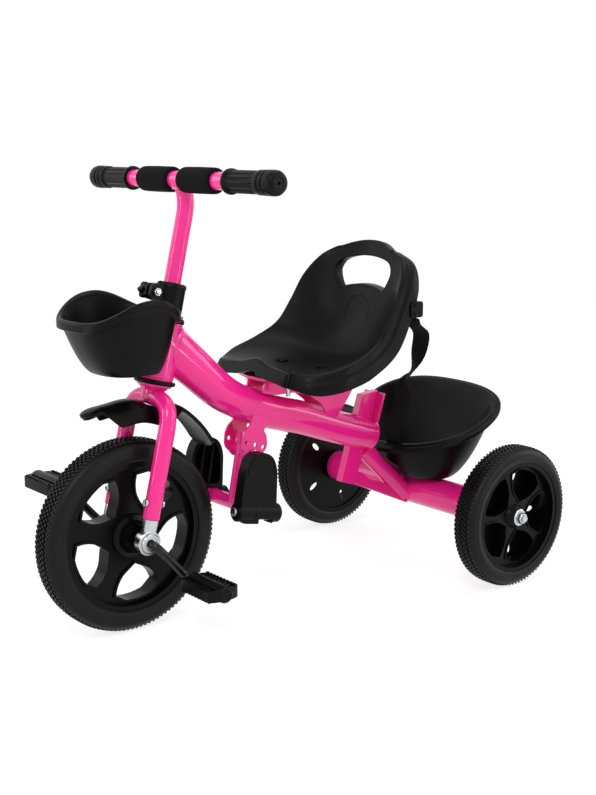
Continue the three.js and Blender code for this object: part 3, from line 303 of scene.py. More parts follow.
def mesh_piece(name, points, faces, material, smooth_below=40):
    """A mesh whose faces point outwards, shaded smooth except at edges sharper than smooth_below degrees."""
    mesh = bpy.data.meshes.new(name)
    mesh.from_pydata([tuple(p) for p in points], [], faces)
    mesh.validate()
    made = bpy.data.objects.new(name, mesh)
    bpy.context.scene.collection.objects.link(made)
    mesh.materials.append(material)
    merge_doubles(made)
    face_outwards(made)
    shade(made, smooth_below)
    return made


def with_bmesh(obj, work):
    edit = bmesh.new()
    edit.from_mesh(obj.data)
    work(edit)
    edit.to_mesh(obj.data)
    edit.free()


def merge_doubles(obj, distance=1e-6):
    with_bmesh(obj, lambda edit: bmesh.ops.remove_doubles(edit, verts=edit.verts, dist=distance))


def face_outwards(obj):
    with_bmesh(obj, lambda edit: bmesh.ops.recalc_face_normals(edit, faces=edit.faces))


def shade(obj, angle=40):
    obj.data.shade_smooth()
    obj.data.set_sharp_from_angle(angle=math.radians(angle))


# %% Rings joined to a closed skin
def loft(name, rings, material, closed=False, smooth_below=40):
    """A skin through rings of equal length. An open row of rings gets a cap at each end."""
    count = len(rings[0])
    points = [p for ring in rings for p in ring]
    faces = []
    for r in range(len(rings) if closed else len(rings) - 1):
        a, b = r * count, (r + 1) % len(rings) * count
        faces += [(a + i, a + (i + 1) % count, b + (i + 1) % count, b + i) for i in range(count)]
    if not closed:
        faces += [tuple(reversed(range(count))), tuple(range(len(points) - count, len(points)))]
    return mesh_piece(name, points, faces, material, smooth_below)


def tube(name, line, radius, material, side=Vector((1, 0, 0)), across=None, sides=40):
    """A bar along a line. side is a direction across it; radius and across may change along it."""
    radius = radius if callable(radius) else lambda t, r=radius: r
    across = across or radius
    rings = []
    for i, point in enumerate(line):
        t = i / (len(line) - 1)
        along = (line[min(i + 1, len(line) - 1)] - line[max(i - 1, 0)]).normalized()
        up = side.cross(along).normalized()
        turns = [2 * math.pi * (k + 0.5) / sides for k in range(sides)]
        rings.append([point + side * across(t) * MM * math.cos(a) + up * radius(t) * MM * math.sin(a)
                      for a in turns])
    return loft(name, rings, material)


def turned(name, profile, place, material, axis="X", sides=72, sign=1):
    """Spins a closed profile of (along, radius) pairs in millimetres round an axis through place."""
    profile = [(sign * x, r) for x, r in profile]
    rings = []
    for k in range(sides):
        a = 2 * math.pi * k / sides
        if axis == "X":
            ring = [Vector((x, r * math.cos(a), r * math.sin(a))) for x, r in profile]
        elif axis == "Y":
            ring = [Vector((r * math.cos(a), x, r * math.sin(a))) for x, r in profile]
        else:
            ring = [Vector((r * math.cos(a), r * math.sin(a), x)) for x, r in profile]
        rings.append([place + p * MM for p in ring])
    return loft(name, rings, material, closed=True, smooth_below=35)


def rod(name, low, high, radius, place, material, axis="X", sides=72, sign=1):
    """A plain cylinder, for a bar or for the hole that a drill makes."""
    profile = [(low, CORE), (low, radius), (high, radius), (high, CORE)]
    return turned(name, profile, place, material, axis, sides, sign)


def plate(name, outline, low, high, material, axis="X", place=None):
    """An outline in millimetres, made thick from low to high along an axis."""
    place = place or spot(0, 0, 0)
    lay = {"X": lambda a, b, h: (h, a, b), "Y": lambda a, b, h: (a, h, b), "Z": lambda a, b, h: (a, b, h)}[axis]
    rings = [[place + Vector(lay(a, b, h)) * MM for a, b in outline] for h in (low, high)]
    return loft(name, rings, material, smooth_below=30)


# %% Outlines and lines
def curve(a, b, c, t):
    """The point at t, from 0 to 1, on the way from a to c that bends towards b."""
    return a * (1 - t) ** 2 + b * 2 * t * (1 - t) + c * t * t


def signed_power(value, power):
    return math.copysign(abs(value) ** power, value)


def rectangle(x0, x1, y0, y1):
    return [(x0, y0), (x1, y0), (x1, y1), (x0, y1)]


def rounded(outline, radius, steps=6):
    """An outline whose corners are rounded to one radius, in millimetres."""
    done = []
    for i, (x, y) in enumerate(outline):
        before, after = Vector(outline[i - 1]), Vector(outline[(i + 1) % len(outline)])
        here = Vector((x, y))
        r = min(radius, (before - here).length / 2.01, (after - here).length / 2.01)
        start, end = here + (before - here).normalized() * r, here + (after - here).normalized() * r
        done += [tuple(curve(start, here, end, k / steps)) for k in range(steps + 1)]
    return done


def bent(corners, radius, steps=10):
    """A line through corners, each rounded to a radius in metres."""
    line = [corners[0]]
    for before, here, after in zip(corners, corners[1:], corners[2:]):
        start = here + (before - here).normalized() * radius
        end = here + (after - here).normalized() * radius
        line += [curve(start, here, end, k / steps) for k in range(steps + 1)]
    return line + [corners[-1]]


def through(points, t):
    """The point at t, from 0 to 1, on a centripetal Catmull-Rom curve through points."""
    last = len(points) - 1
    at = min(max(t, 0), 1) * last
    i = min(int(at), last - 1)
    f = at - i
    b, c = points[i], points[i + 1]
    a = points[i - 1] if i > 0 else b * 2 - c
    d = points[i + 2] if i + 2 <= last else c * 2 - b
    ab, bc, cd = (math.sqrt((q - p).length) for p, q in ((a, b), (b, c), (c, d)))
    leave = ((b - a) / ab - (c - a) / (ab + bc) + (c - b) / bc) * bc
    enter = ((c - b) / bc - (d - b) / (bc + cd) + (d - c) / cd) * bc
    return b + leave * f + (c * 3 - b * 3 - leave * 2 - enter) * f ** 2 + (b * 2 - c * 2 + leave + enter) * f ** 3


def smoothstep(value, low, high):
    t = min(max((value - low) / (high - low), 0), 1)
    return t * t * (3 - 2 * t)


# %% Cutting, joining and finishing
def apply_modifiers(obj):
    bpy.context.view_layer.update()
    ready = obj.evaluated_get(bpy.context.evaluated_depsgraph_get())
    mesh = bpy.data.meshes.new_from_object(ready)
    obj.modifiers.clear()
    old, obj.data = obj.data, mesh
    bpy.data.meshes.remove(old)


def combine(obj, operation, *tools):
    for tool in tools:
        step = obj.modifiers.new("boolean", "BOOLEAN")
        step.operation, step.object, step.solver = operation, tool, "EXACT"
    apply_modifiers(obj)
    for tool in tools:
        bpy.data.objects.remove(tool)
    return obj


def cut(obj, *tools):
    return combine(obj, "DIFFERENCE", *tools)


def fuse(obj, *others):
    return combine(obj, "UNION", *others)


def gather(name, objects):
    """Several meshes as one object, with their materials kept."""
    first = objects[0]
    with bpy.context.temp_override(active_object=first, selected_editable_objects=objects,
                                   selected_objects=objects):
        bpy.ops.object.join()
    first.name = name
    return first


def soften(obj, width=0.6, angle=35, segments=3):
    """Rounds the edges a little, as paint and mould radii do, so that they catch the light."""
    merge_doubles(obj)
    step = obj.modifiers.new("edges", "BEVEL")
    step.width, step.segments, step.limit_method = width * MM, segments, "ANGLE"
    step.angle_limit = math.radians(angle)
    step.miter_outer = "MITER_ARC"
    step.harden_normals = True
    step.use_clamp_overlap = True
    apply_modifiers(obj)
    return obj


def on_steering(obj):
    """Moves a piece made upright over the origin onto the leaning steering axis, from the hub up."""
    obj.data.transform(Matrix.Translation(HUB) @ Matrix.Rotation(-LEAN, 4, "X"))
    return obj


def mirrored(obj, name):
    """A copy on the other side of the middle plane."""
    copy = obj.copy()
    copy.data = obj.data.copy()
    copy.name = name
    bpy.context.scene.collection.objects.link(copy)
    copy.data.transform(Matrix.Scale(-1, 4, Vector((1, 0, 0))))
    copy.data.flip_normals()
    return copy


def belongs(obj, slot, *nodes):
    """The piece stands for these CAD nodes and rides on their body. slot is not used."""
    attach(obj, frame["nodes"][nodes[0]]["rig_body"])
    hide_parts(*nodes)
    return obj


def keep_cad(material, *nodes):
    """Small fasteners and the basket bracket keep their CAD mesh; live modifiers round their edges."""
    for name in nodes:
        kept = frame["nodes"][name]
        kept.data.materials.clear()
        kept.data.materials.append(material)
        kept.modifiers.new("merge", "WELD").merge_threshold = 0.00001
        edges = kept.modifiers.new("edges", "BEVEL")
        edges.width, edges.segments, edges.limit_method, edges.angle_limit = 0.4 * MM, 2, "ANGLE", math.radians(32)
        edges.harden_normals = True
        kept.data.shade_smooth()


# %% Copies round an axis, by Geometry Nodes
def copies_tree():
    """Copies a mesh Count times round a line along X through Centre, Step apart, each with a Shift along X."""
    made = bpy.data.node_groups.new("copies_round_x", "GeometryNodeTree")
    for name, kind in (("Geometry", "Geometry"), ("Count", "Int"), ("Step", "Float"), ("Shift", "Vector"),
                       ("Centre", "Vector"), ("Finish", "Material")):
        made.interface.new_socket(name, in_out="INPUT", socket_type=f"NodeSocket{kind}")
    made.interface.new_socket("Geometry", in_out="OUTPUT", socket_type="NodeSocketGeometry")
    given = node(made, "NodeGroupInput").outputs
    line = node(made, "GeometryNodeMeshLine", Count=given["Count"], Start_Location=given["Centre"],
                Offset=given["Shift"])
    index = node(made, "GeometryNodeInputIndex")
    angle = node(made, "ShaderNodeMath", {"operation": "MULTIPLY"}, in_0=index.outputs[0], in_1=given["Step"])
    turn = node(made, "ShaderNodeCombineXYZ", X=angle.outputs[0])
    spread = node(made, "GeometryNodeInstanceOnPoints", Points=line.outputs[0], Instance=given["Geometry"],
                  Rotation=turn.outputs[0])
    solid = node(made, "GeometryNodeRealizeInstances", Geometry=spread.outputs[0])
    finished = node(made, "GeometryNodeSetMaterial", Geometry=solid.outputs[0], Material=given["Finish"])
    node(made, "NodeGroupOutput", Geometry=finished.outputs[0])
    return made


COPIES = copies_tree()


def repeat(obj, count, step, centre, material, shift=(0, 0, 0)):
    """Runs the copies tree on obj, whose mesh lies round the origin, and keeps the plain mesh."""
    modifier = obj.modifiers.new("copies", "NODES")
    modifier.node_group = COPIES
    key = {item.name: item.identifier for item in COPIES.interface.items_tree if item.in_out == "INPUT"}
    given = {"Count": count, "Step": step, "Shift": tuple(shift), "Centre": tuple(centre), "Finish": material}
    for name, value in given.items():
        modifier[key[name]] = value
    apply_modifiers(obj)
    return obj


print("helpers ready")

# %% [markdown]
# ## The strap
# The safety strap is flat webbing that hangs from a clip at the edge of the seat's back. It is limp, so it
# follows its own weight down behind the seat, by the same route as in the CAD. Below the clip it leans to
# one side, and about half way down it twists the other way for a short stretch.

# %% Strap
STRAP_ROUTE = [
    (107, 403, 386.4), (104, 409, 376), (95, 432, 359), (85, 437, 331), (75, 434, 303), (65, 431, 285),
    (57, 437, 258), (44, 437, 232), (28, 442, 210), (20, 452, 190), (18, 457, 177),
]
STRAP_WIDTH, STRAP_THICKNESS, STRAP_STEPS, STRAP_CORNERS = 25, 2, 36, 24
LEANING, TWIST = 22, 66  # degrees
TWIST_AT, TWIST_OVER = 0.42, 0.09  # shares of the strap's length
strap_path = [through([spot(*p) for p in STRAP_ROUTE], k / STRAP_STEPS) for k in range(STRAP_STEPS + 1)]
strap_rings = []
for i, point in enumerate(strap_path):
    along = (strap_path[min(i + 1, STRAP_STEPS)] - strap_path[max(i - 1, 0)]).normalized()
    t = i / STRAP_STEPS
    turn = math.radians(LEANING * smoothstep(t, 0.05, 0.2) - TWIST * math.exp(-((t - TWIST_AT) / TWIST_OVER) ** 2))
    face = Vector((math.cos(turn), math.sin(turn), 0)).cross(along).normalized()
    wide = along.cross(face).normalized()
    ring = []
    for k in range(STRAP_CORNERS):
        a = 2 * math.pi * k / STRAP_CORNERS
        x = signed_power(math.cos(a), 0.35) * STRAP_WIDTH / 2
        y = signed_power(math.sin(a), 0.6) * STRAP_THICKNESS / 2
        ring.append(point + wide * x * MM + face * y * MM)
    strap_rings.append(ring)
strap = loft("safety_strap", strap_rings, webbing, smooth_below=60)
belongs(strap, "webbing", "strap")

# %% [markdown]
# ## Tyres
# The tyres are moulded EVA foam rings, so they never go flat. Their tread is six rows of small leaning
# blocks, with a slanting bar beside them on each shoulder. The ring is a turned profile. One block of each
# row is modelled, and Geometry Nodes copies it round the wheel.

# %% One tyre
TREAD_ROWS = (-12.2, -7.3, -2.4, 2.4, 7.3, 12.2)
BLOCK_HALF, BLOCK_LEAN, BLOCK_TAPER = 2.0, 1.5, 0.82
GROOVE = 2.4  # depth of the ring's own surface below the tread's


def tread_block(x0, x1, y_half, lean, low, high):
    """A block on the top of a wheel: x runs across the tyre, lean slants it, low and high are radii."""
    corners = [(x0, -y_half - lean), (x1, -y_half + lean), (x1, y_half + lean), (x0, y_half - lean)]
    centre = (sum(c[0] for c in corners) / 4, sum(c[1] for c in corners) / 4)
    rings = []
    for radius, grow in ((low, 1.0), (high, BLOCK_TAPER)):
        rings.append([Vector((centre[0] + (x - centre[0]) * grow, centre[1] + (y - centre[1]) * grow, radius)) * MM
                      for x, y in corners])
    return loft("tread", rings, tyre_foam, smooth_below=20)


def make_tyre(name, centre, radius, width, rim, blocks):
    """A tyre of so many blocks in each row. rim is the radius where it meets the wheel's edge."""
    half = width / 2
    seat = half - 6
    shoulder = 11
    arc = [(half - 1 - shoulder * (1 - math.cos(a)), radius - GROOVE - shoulder * (1 - math.sin(a)))
           for a in (math.radians(d) for d in range(0, 91, 10))]
    side = [(seat - 2.25, rim - 4.7), (seat - 0.25, rim + 0.3), (half - 2, rim + 0.3), (half - 0.4, rim + 3),
            (half, rim + 8)] + arc
    profile = side + [(-x, r) for x, r in reversed(side)]
    body = turned(name, profile, centre, tyre_foam, sides=144)
    step = 2 * math.pi / blocks
    length = math.pi * radius / blocks
    rows = []
    for row, x in enumerate(TREAD_ROWS):
        top = radius - 0.3 - (1.2 if abs(x) > 12 else 0.0)
        lean = BLOCK_LEAN if row % 2 else -BLOCK_LEAN
        block = tread_block(x - BLOCK_HALF, x + BLOCK_HALF, length * 0.56, lean, radius - GROOVE - 2, top)
        block.data.transform(Matrix.Rotation(step * 0.5 * (row % 2), 4, "X"))
        rows.append(block)
    for sign in (1, -1):
        bar = tread_block(sign * (half - 8.2), sign * (half - 3.2), length * 0.56, 0.8 * sign, radius - 12.6,
                          radius - 7.2)
        centre_of_bar = Vector((sign * (half - 5), 0, radius - 9)) * MM
        bar.data.transform(Matrix.Translation(centre_of_bar) @ Matrix.Rotation(math.radians(32 * sign), 4, "Y")
                           @ Matrix.Translation(-centre_of_bar))
        rows.append(bar)
    treads = [repeat(row, blocks, step, centre, tyre_foam) for row in rows]
    return gather(name, [body] + treads)


# %% The three tyres
FRONT_RADIUS, REAR_RADIUS = 127, 101.6
FRONT_RIM, REAR_RIM = 98.6, 79.3
FRONT_WIDTH, REAR_WIDTH = 43, 41
front_hub = spot(0, 0, FRONT_RADIUS)
rear_hub = {side: Vector(joint[f"rear_wheel_{side}_spin"]["pos_m"]) for side, _ in SIDES}
tyre = make_tyre("front_foam_tyre", front_hub, FRONT_RADIUS, FRONT_WIDTH, FRONT_RIM, 118)
belongs(tyre, "foam_tyre", "front_tyre")
for side, centre in rear_hub.items():
    tyre = make_tyre(f"rear_foam_tyre_{side}", centre, REAR_RADIUS, REAR_WIDTH, REAR_RIM, 96)
    belongs(tyre, "foam_tyre", f"rear_tyre_{side}")
print("tyres made")

# %% [markdown]
# ## Wheels
# Each wheel is one moulding: a grooved rim, a hub and five flared spokes with U-shaped windows between
# them. A raised bead runs round every window. The rim, web and hub are turned, the beads are added and
# the windows are cut, then all edges get the small radius of the mould. The front wheel's windows go
# through. The rear wheels have slender spokes, and a thin floor with a small slot closes each window on
# the inner side.


# %% A window between two spokes
SPOKES = 5
FOOT_SHARE, HEAD_SHARE = 0.34, 0.88  # a window is round below the first and has round corners above the second


def window(spec, index, inset=0.0, steps=9):
    """The outline of one window, as (y, z) pairs round the hub."""
    low, high = spec["inner"] + inset, spec["outer"] - inset
    middle = (spec["inner"] + spec["outer"]) / 2
    pitch = math.pi / SPOKES
    heading = 2 * math.pi * index / SPOKES + math.radians(spec["turn"])

    def half_angle(r):
        half_width = spec["waist"] + spec["flare"] * ((r - middle) / (spec["outer"] - middle)) ** 2 + inset
        return pitch - math.asin(half_width / r)

    def at(r, a):
        return (r * math.cos(heading + a), r * math.sin(heading + a))

    side = []
    for k in range(steps + 1):
        t = k / steps
        r = low + (high - low) * t
        ends = math.sqrt(max(0.0, 1 - (max(0.0, FOOT_SHARE - t) / FOOT_SHARE) ** 2))
        corner = math.sqrt(max(0.0, 1 - (max(0.0, t - HEAD_SHARE) / (1 - HEAD_SHARE)) ** 2))
        side.append((r, max(0.02, ends * (0.55 + 0.45 * corner)) * half_angle(r)))
    outline = [at(r, a) for r, a in side]
    across = [at(high, side[-1][1] * k / 4) for k in (2, 0, -2)]
    return outline + across + [at(r, -a) for r, a in reversed(side)]


SLOT_HALF_LENGTH, SLOT_HALF_WIDTH, SLOT_RADIUS = 9, 4, 56


def make_wheel(name, centre, spec, outward=1):
    """One wheel. web and back are how far its disc reaches outwards and inwards; a floor of 0 leaves it open."""
    half = spec["width"] / 2 - 3
    rim, deep, web, bead, back = spec["rim"], spec["rim_depth"], spec["web"], spec["bead"], spec["back"]
    hub, hub_half = spec["hub"], spec["hub_half"]
    flange = min(web + bead, hub_half - 4)

    def spun(name, profile, sides):
        return turned(name, profile, centre, wheel_plastic, sides=sides, sign=outward)

    def cut_from(name, outline, low, high):
        low, high = sorted((outward * low, outward * high))
        return plate(name, outline, low, high, wheel_plastic, place=centre)

    ring = spun(name, [
        (-half, rim - deep), (-half, rim), (-half + 3, rim), (-half + 5, rim - 5), (half - 5, rim - 5),
        (half - 3, rim), (half, rim), (half, rim - deep),
    ], 120)
    disc = spun("disc", [(-back, 3), (-back, rim - deep + 1), (web, rim - deep + 1), (web, 3)], 96)
    cone = hub + spec["cone"]
    boss = spun("boss", [
        (-hub_half, 2), (-hub_half, hub - 4), (-flange - 4, hub), (-flange - 1, cone), (-web + 1, cone + 2),
        (web - 1, cone + 2), (flange + 1, cone), (flange + 4, hub), (hub_half, hub - 4), (hub_half, 2),
    ], 64)
    places = [i + 0.5 for i in range(SPOKES)]
    beads = [cut_from("bead", window(spec, i, -spec["bead_width"]), -web - spec["back_bead"], web + bead)
             for i in places]
    depth = back - spec["floor"] if spec["floor"] else back + 9
    holes = [cut_from("hole", window(spec, i), -depth, web + bead + 2) for i in places]
    for i in places if spec["floor"] else []:
        a = 2 * math.pi * i / SPOKES + math.radians(spec["turn"])
        slot = []
        for k in range(24):
            u = SLOT_RADIUS + SLOT_HALF_LENGTH * math.cos(math.pi * k / 12)
            v = SLOT_HALF_WIDTH * math.sin(math.pi * k / 12)
            slot.append((u * math.cos(a) - v * math.sin(a), u * math.sin(a) + v * math.cos(a)))
        holes.append(cut_from("slot", slot, -back - 2, 0))
    bore = rod("bore", -60, 60, spec["bore"], centre, wheel_plastic, sides=32, sign=outward)
    wheel = cut(fuse(ring, disc, boss, *beads), *holes, bore)
    return soften(wheel, 0.7, angle=40, segments=2)


# %% The three wheels
CRANK_HOLE = 5.85  # radius of every hole that the crank passes through
front_spec = {"rim": FRONT_RIM, "width": FRONT_WIDTH, "rim_depth": 7, "hub": 22, "hub_half": 31, "bore": CRANK_HOLE,
              "web": 9, "back": 9, "bead": 2.5, "back_bead": 2.5, "bead_width": 3.2, "floor": 0, "cone": 6,
              "inner": 38, "outer": 85, "waist": 13, "flare": 6, "turn": 95}
rear_spec = {"rim": REAR_RIM, "width": REAR_WIDTH, "rim_depth": 6, "hub": 13, "hub_half": 17, "bore": 5.35,
             "web": 8, "back": 15, "bead": 1.6, "back_bead": 0, "bead_width": 1.8, "floor": 2.5, "cone": 3,
             "inner": 21, "outer": 68, "waist": 4.6, "flare": 5, "turn": 104}
belongs(make_wheel("front_five_spoke_wheel", front_hub, front_spec), "black_plastic", "front_wheel")
for side, sign in SIDES:
    wheel = make_wheel(f"rear_five_spoke_wheel_{side}", rear_hub[side], rear_spec, sign)
    belongs(wheel, "black_plastic", f"rear_wheel_{side}")
print("wheels made")

# %% [markdown]
# ## Frame tubes
# One thick arched tube runs from the head tube to the seat. Behind it a flat upright, a short neck and a
# link plate carry the rear axle tube. All are welded steel with one coat of pink powder.


# %% Main tube and head tube
MAIN_CURVE = [spot(0, y, z) for y, z in (
    (57, 376), (103, 337), (158, 291), (221, 262), (289, 242), (352, 220), (420, 199),
)]
MAIN_RADIUS, MAIN_STEPS = 24, 72


def main_tube(name, grow=0.0):
    """The arched tube, a little taller and narrower towards its front end."""
    def flare(t):
        return max(0.0, 1 - t * 2.75)

    line = [through(MAIN_CURVE, k / MAIN_STEPS) for k in range(MAIN_STEPS + 1)]
    return tube(name, line, lambda t: MAIN_RADIUS + grow + 6 * flare(t), powder_coat,
                across=lambda t: MAIN_RADIUS + grow - 2.5 * flare(t), sides=56)


def head_cylinder(radius, low=150, high=340):
    return on_steering(rod("head", low, high, radius, ORIGIN, powder_coat, axis="Z", sides=64))


bend = cut(main_tube("main_tube"), head_cylinder(22.8))
seam = combine(main_tube("seam", 1.6), "INTERSECT", head_cylinder(25.6))
seam = soften(cut(seam, head_cylinder(22.7)), 1.1, segments=3)
end_cap = tube("end_cap", [through(MAIN_CURVE, 0.985), through(MAIN_CURVE, 0.999)], 24.4, powder_coat, sides=56)
bend = gather("arched_main_tube", [soften(bend, 1.5), seam, end_cap])
belongs(bend, "pink_paint", "main_tube")

head = on_steering(turned("head_tube", [
    (203, 16), (203, 22.4), (203.6, 23), (206, 23), (206.5, 23.5), (209, 23.5), (209.6, 23), (271, 23),
    (271.6, 23.5), (274, 23.5), (274.6, 23), (276.9, 23), (277.5, 22.4), (277.5, 16),
], ORIGIN, powder_coat, axis="Z", sides=96))
belongs(head, "pink_paint", "head_tube")

lower_cover = on_steering(turned("lower_bearing_cover", [
    (197.5, 14.35), (197.5, 25.8), (198.7, 27), (201.5, 27), (202.7, 26), (202.7, 15.4), (212, 15.4), (212, 14.35),
], ORIGIN, moulded_plastic, axis="Z", sides=80))
upper_cover = on_steering(turned("upper_bearing_cover", [
    (268.5, 14.35), (268.5, 15.4), (277.8, 15.4), (277.8, 23.6), (278.6, 24.2), (282.4, 24.2), (285, 22.6),
    (285.5, 21), (285.5, 14.35),
], ORIGIN, moulded_plastic, axis="Z", sides=80))
belongs(lower_cover, "black_plastic", "lower_headset_cover")
belongs(upper_cover, "black_plastic", "upper_headset_cover")

# %% Upright, neck, link and axle tube
UPRIGHT_FOOT, UPRIGHT_HEAD, UPRIGHT_HALF = Vector((376, 132)), Vector((416, 259)), 14
rise = (UPRIGHT_HEAD - UPRIGHT_FOOT).normalized()
back = Vector((rise.y, -rise.x))
post = [UPRIGHT_FOOT - back * UPRIGHT_HALF, UPRIGHT_FOOT + back * UPRIGHT_HALF,
        UPRIGHT_HEAD + back * UPRIGHT_HALF + rise * 10, UPRIGHT_HEAD - back * UPRIGHT_HALF - rise * 2]
behind = back * (UPRIGHT_HALF - 1)
foot, top = UPRIGHT_FOOT + rise * 97 + behind, UPRIGHT_HEAD + rise * 8 + behind
flange = [foot, foot + back * 4, top + back * 4, top]
upright = fuse(plate("rear_upright", [tuple(p) for p in post], -6.5, 6.5, powder_coat),
               plate("flange", [tuple(p) for p in flange], -21, 21, powder_coat))
belongs(soften(upright, 2.0, segments=4), "pink_paint", "rear_upright")

NECK_RADIUS, NECK_BEND = 14, spot(0, 440, 149.8)
neck = tube("rear_neck", [spot(0, 408, 179), NECK_BEND, spot(0, 498, 97)], NECK_RADIUS, powder_coat, sides=48)
belongs(neck, "pink_paint", "rear_neck")
link_outline = [(378, 139), (396, 126), (500, 79), (500, 96), (440, 124), (420, 130), (401, 146)]
link = plate("neck_link", rounded(link_outline, 5), -4, 4, powder_coat)
belongs(soften(link, 0.9), "pink_paint", "neck_link")

rear_axle = (rear_hub["left"] + rear_hub["right"]) / 2
axle_tube = turned("rear_axle_tube", [(-177, 22), (-177, 23.6), (-176.6, 24), (176.6, 24), (177, 23.6), (177, 22)],
                   rear_axle, powder_coat, sides=96)
neck_seam = combine(tube("seam", [NECK_BEND, spot(0, 500, 95)], NECK_RADIUS + 1.6, powder_coat, sides=48),
                    "INTERSECT", rod("ring", -30, 30, 26, rear_axle, powder_coat, sides=64))
axle_tube = gather("rear_axle_tube", [axle_tube, soften(neck_seam, 1.0)])
belongs(axle_tube, "pink_paint", "axle_tube")
print("frame tubes made")

# %% Axle ends
WASHER_AT, NUT_AT, NUT_RADIUS = 214.8, 217.5, 8.5
for side, sign in SIDES:
    def turned_out(name, profile, at, material, sides=64):
        return turned(name, profile, rear_axle + Vector((sign * at * MM, 0, 0)), material, sides=sides, sign=sign)

    plug = turned_out(f"axle_plug_{side}", [
        (-12, 5.3), (-12, 21), (0.3, 21), (0.3, 23.6), (0.8, 24), (2, 24), (3, 22.8), (3, 5.3),
    ], 177, moulded_plastic)
    washer = turned_out(f"wheel_washer_{side}", [
        (0, 5.3), (0, 11.6), (0.4, 12), (1.4, 12), (2, 11), (2.4, 9), (2.4, 5.3),
    ], WASHER_AT, zinc_plate)
    belongs(plug, "black_plastic", f"axle_plug_{side}")
    belongs(washer, "zinc_steel", f"axle_washer_{side}")
    hexagon = [(NUT_RADIUS * math.cos(math.pi / 3 * k), NUT_RADIUS * math.sin(math.pi / 3 * k)) for k in range(6)]
    low, high = sorted((sign * NUT_AT, sign * (NUT_AT + 6)))
    nut = plate(f"axle_nut_{side}", hexagon, low, high, zinc_plate, place=rear_axle)
    dome = turned_out("dome", [(0, CORE), (0, 9.4), (2.6, 9.1), (5.6, 7.2), (6.2, 5.2), (6.2, CORE)], NUT_AT,
                      zinc_plate)
    bore = turned_out("bore", [(-2, CORE), (-2, 5.3), (9, 5.3), (9, CORE)], NUT_AT, zinc_plate, sides=32)
    belongs(cut(combine(nut, "INTERSECT", dome), bore), "zinc_steel", f"axle_nut_{side}")
axle_rod = turned("rear_axle_rod", [
    (-226.5, CORE), (-226.5, 4.2), (-225.6, 5), (225.6, 5), (226.5, 4.2), (226.5, CORE),
], rear_axle, zinc_plate, sides=40)
belongs(axle_rod, "zinc_steel", "rear_axle")

# %% [markdown]
# ## Fork and front drive
# The fork is one tube bent into an arch, with the steerer on top. Zinc-plated eyes plug its legs and carry
# the crank, which is one bent rod through the wheel. The pedals turn on its ends.

# %% Fork
LEG_SPREAD, CROWN_START, LEG_RADIUS, ARCH_STEPS = 46, 135, 11, 60
SQUARENESS = 2 / 3  # 1 would bend the crown as a half circle
arch = []
for k in range(ARCH_STEPS + 1):
    a = math.pi * k / ARCH_STEPS
    arch.append((LEG_SPREAD * signed_power(math.cos(a), SQUARENESS),
                 CROWN_START + LEG_SPREAD * signed_power(math.sin(a), SQUARENESS)))
leg_line = [(LEG_SPREAD, 30), (LEG_SPREAD, 80)] + arch + [(-LEG_SPREAD, 80), (-LEG_SPREAD, 30)]
legs = tube("fork", [Vector((x, 0, z)) * MM for x, z in leg_line], LEG_RADIUS, powder_coat, side=Vector((0, 1, 0)),
            sides=40)
steerer = rod("steerer", 178, 325, 14, ORIGIN, powder_coat, axis="Z", sides=56)
race = turned("race", [
    (189, CORE), (189, 15), (193, 19), (195, 22.4), (196.4, 23), (197.2, 23), (197.2, CORE),
], ORIGIN, powder_coat, axis="Z", sides=72)
sockets = [rod("socket", 20, 66, 8.4, Vector((x * MM, 0, 0)), powder_coat, axis="Z", sides=40)
           for x in (LEG_SPREAD, -LEG_SPREAD)]
bore = rod("bore", 196, 330, 11.4, ORIGIN, powder_coat, axis="Z", sides=40)
fork = cut(fuse(legs, steerer, race), bore, *sockets)
belongs(on_steering(soften(fork, 0.9, angle=38)), "pink_paint", "fork")


# %% Fork ends and their bolts
def make_fork_end(side, sign):
    at = Vector((sign * LEG_SPREAD * MM, 0, 0))

    def turned_out(name, profile):
        return turned(name, profile, at, zinc_plate, sides=64, sign=sign)

    eye = turned_out("eye", [
        (-5, 5.9), (-5, 15), (-4, 16), (7.3, 16), (8.5, 15), (8.5, 13.4), (7.7, 13), (7.7, 12.6), (9.2, 12.4),
        (10.2, 12.2), (11, 11.4), (11, 9), (10.2, 8.6), (10.2, 5.9),
    ])
    shank = turned("shank", [
        (12, CORE), (12, 9.6), (24, 10.2), (29.2, 10.2), (29.7, 9.6), (29.7, 7.6), (62, 7.6), (62, CORE),
    ], at, zinc_plate, axis="Z", sides=48)
    hole = rod("hole", -12, 20, CRANK_HOLE, at, zinc_plate, sides=64, sign=sign)
    made = soften(cut(fuse(eye, shank), hole), 0.5)
    belongs(on_steering(made), "zinc_steel", f"fork_end_{side}")


for side, sign in SIDES:
    make_fork_end(side, sign)
    bolt = turned(f"leg_bolt_{side}", [
        (-14.6, CORE), (-14.6, 2.2), (-14, 4.4), (-12.6, 5.2), (-11.4, 5.2), (-11.4, 2.5), (11.4, 2.5), (11.4, 5.2),
        (13.4, 5.2), (14.6, 4.4), (15, 2.4), (15, CORE),
    ], Vector((sign * LEG_SPREAD, 0, 50)) * MM, zinc_plate, axis="Y", sides=40)
    belongs(on_steering(bolt), "zinc_steel", f"fork_bolt_{side}")
print("fork made")

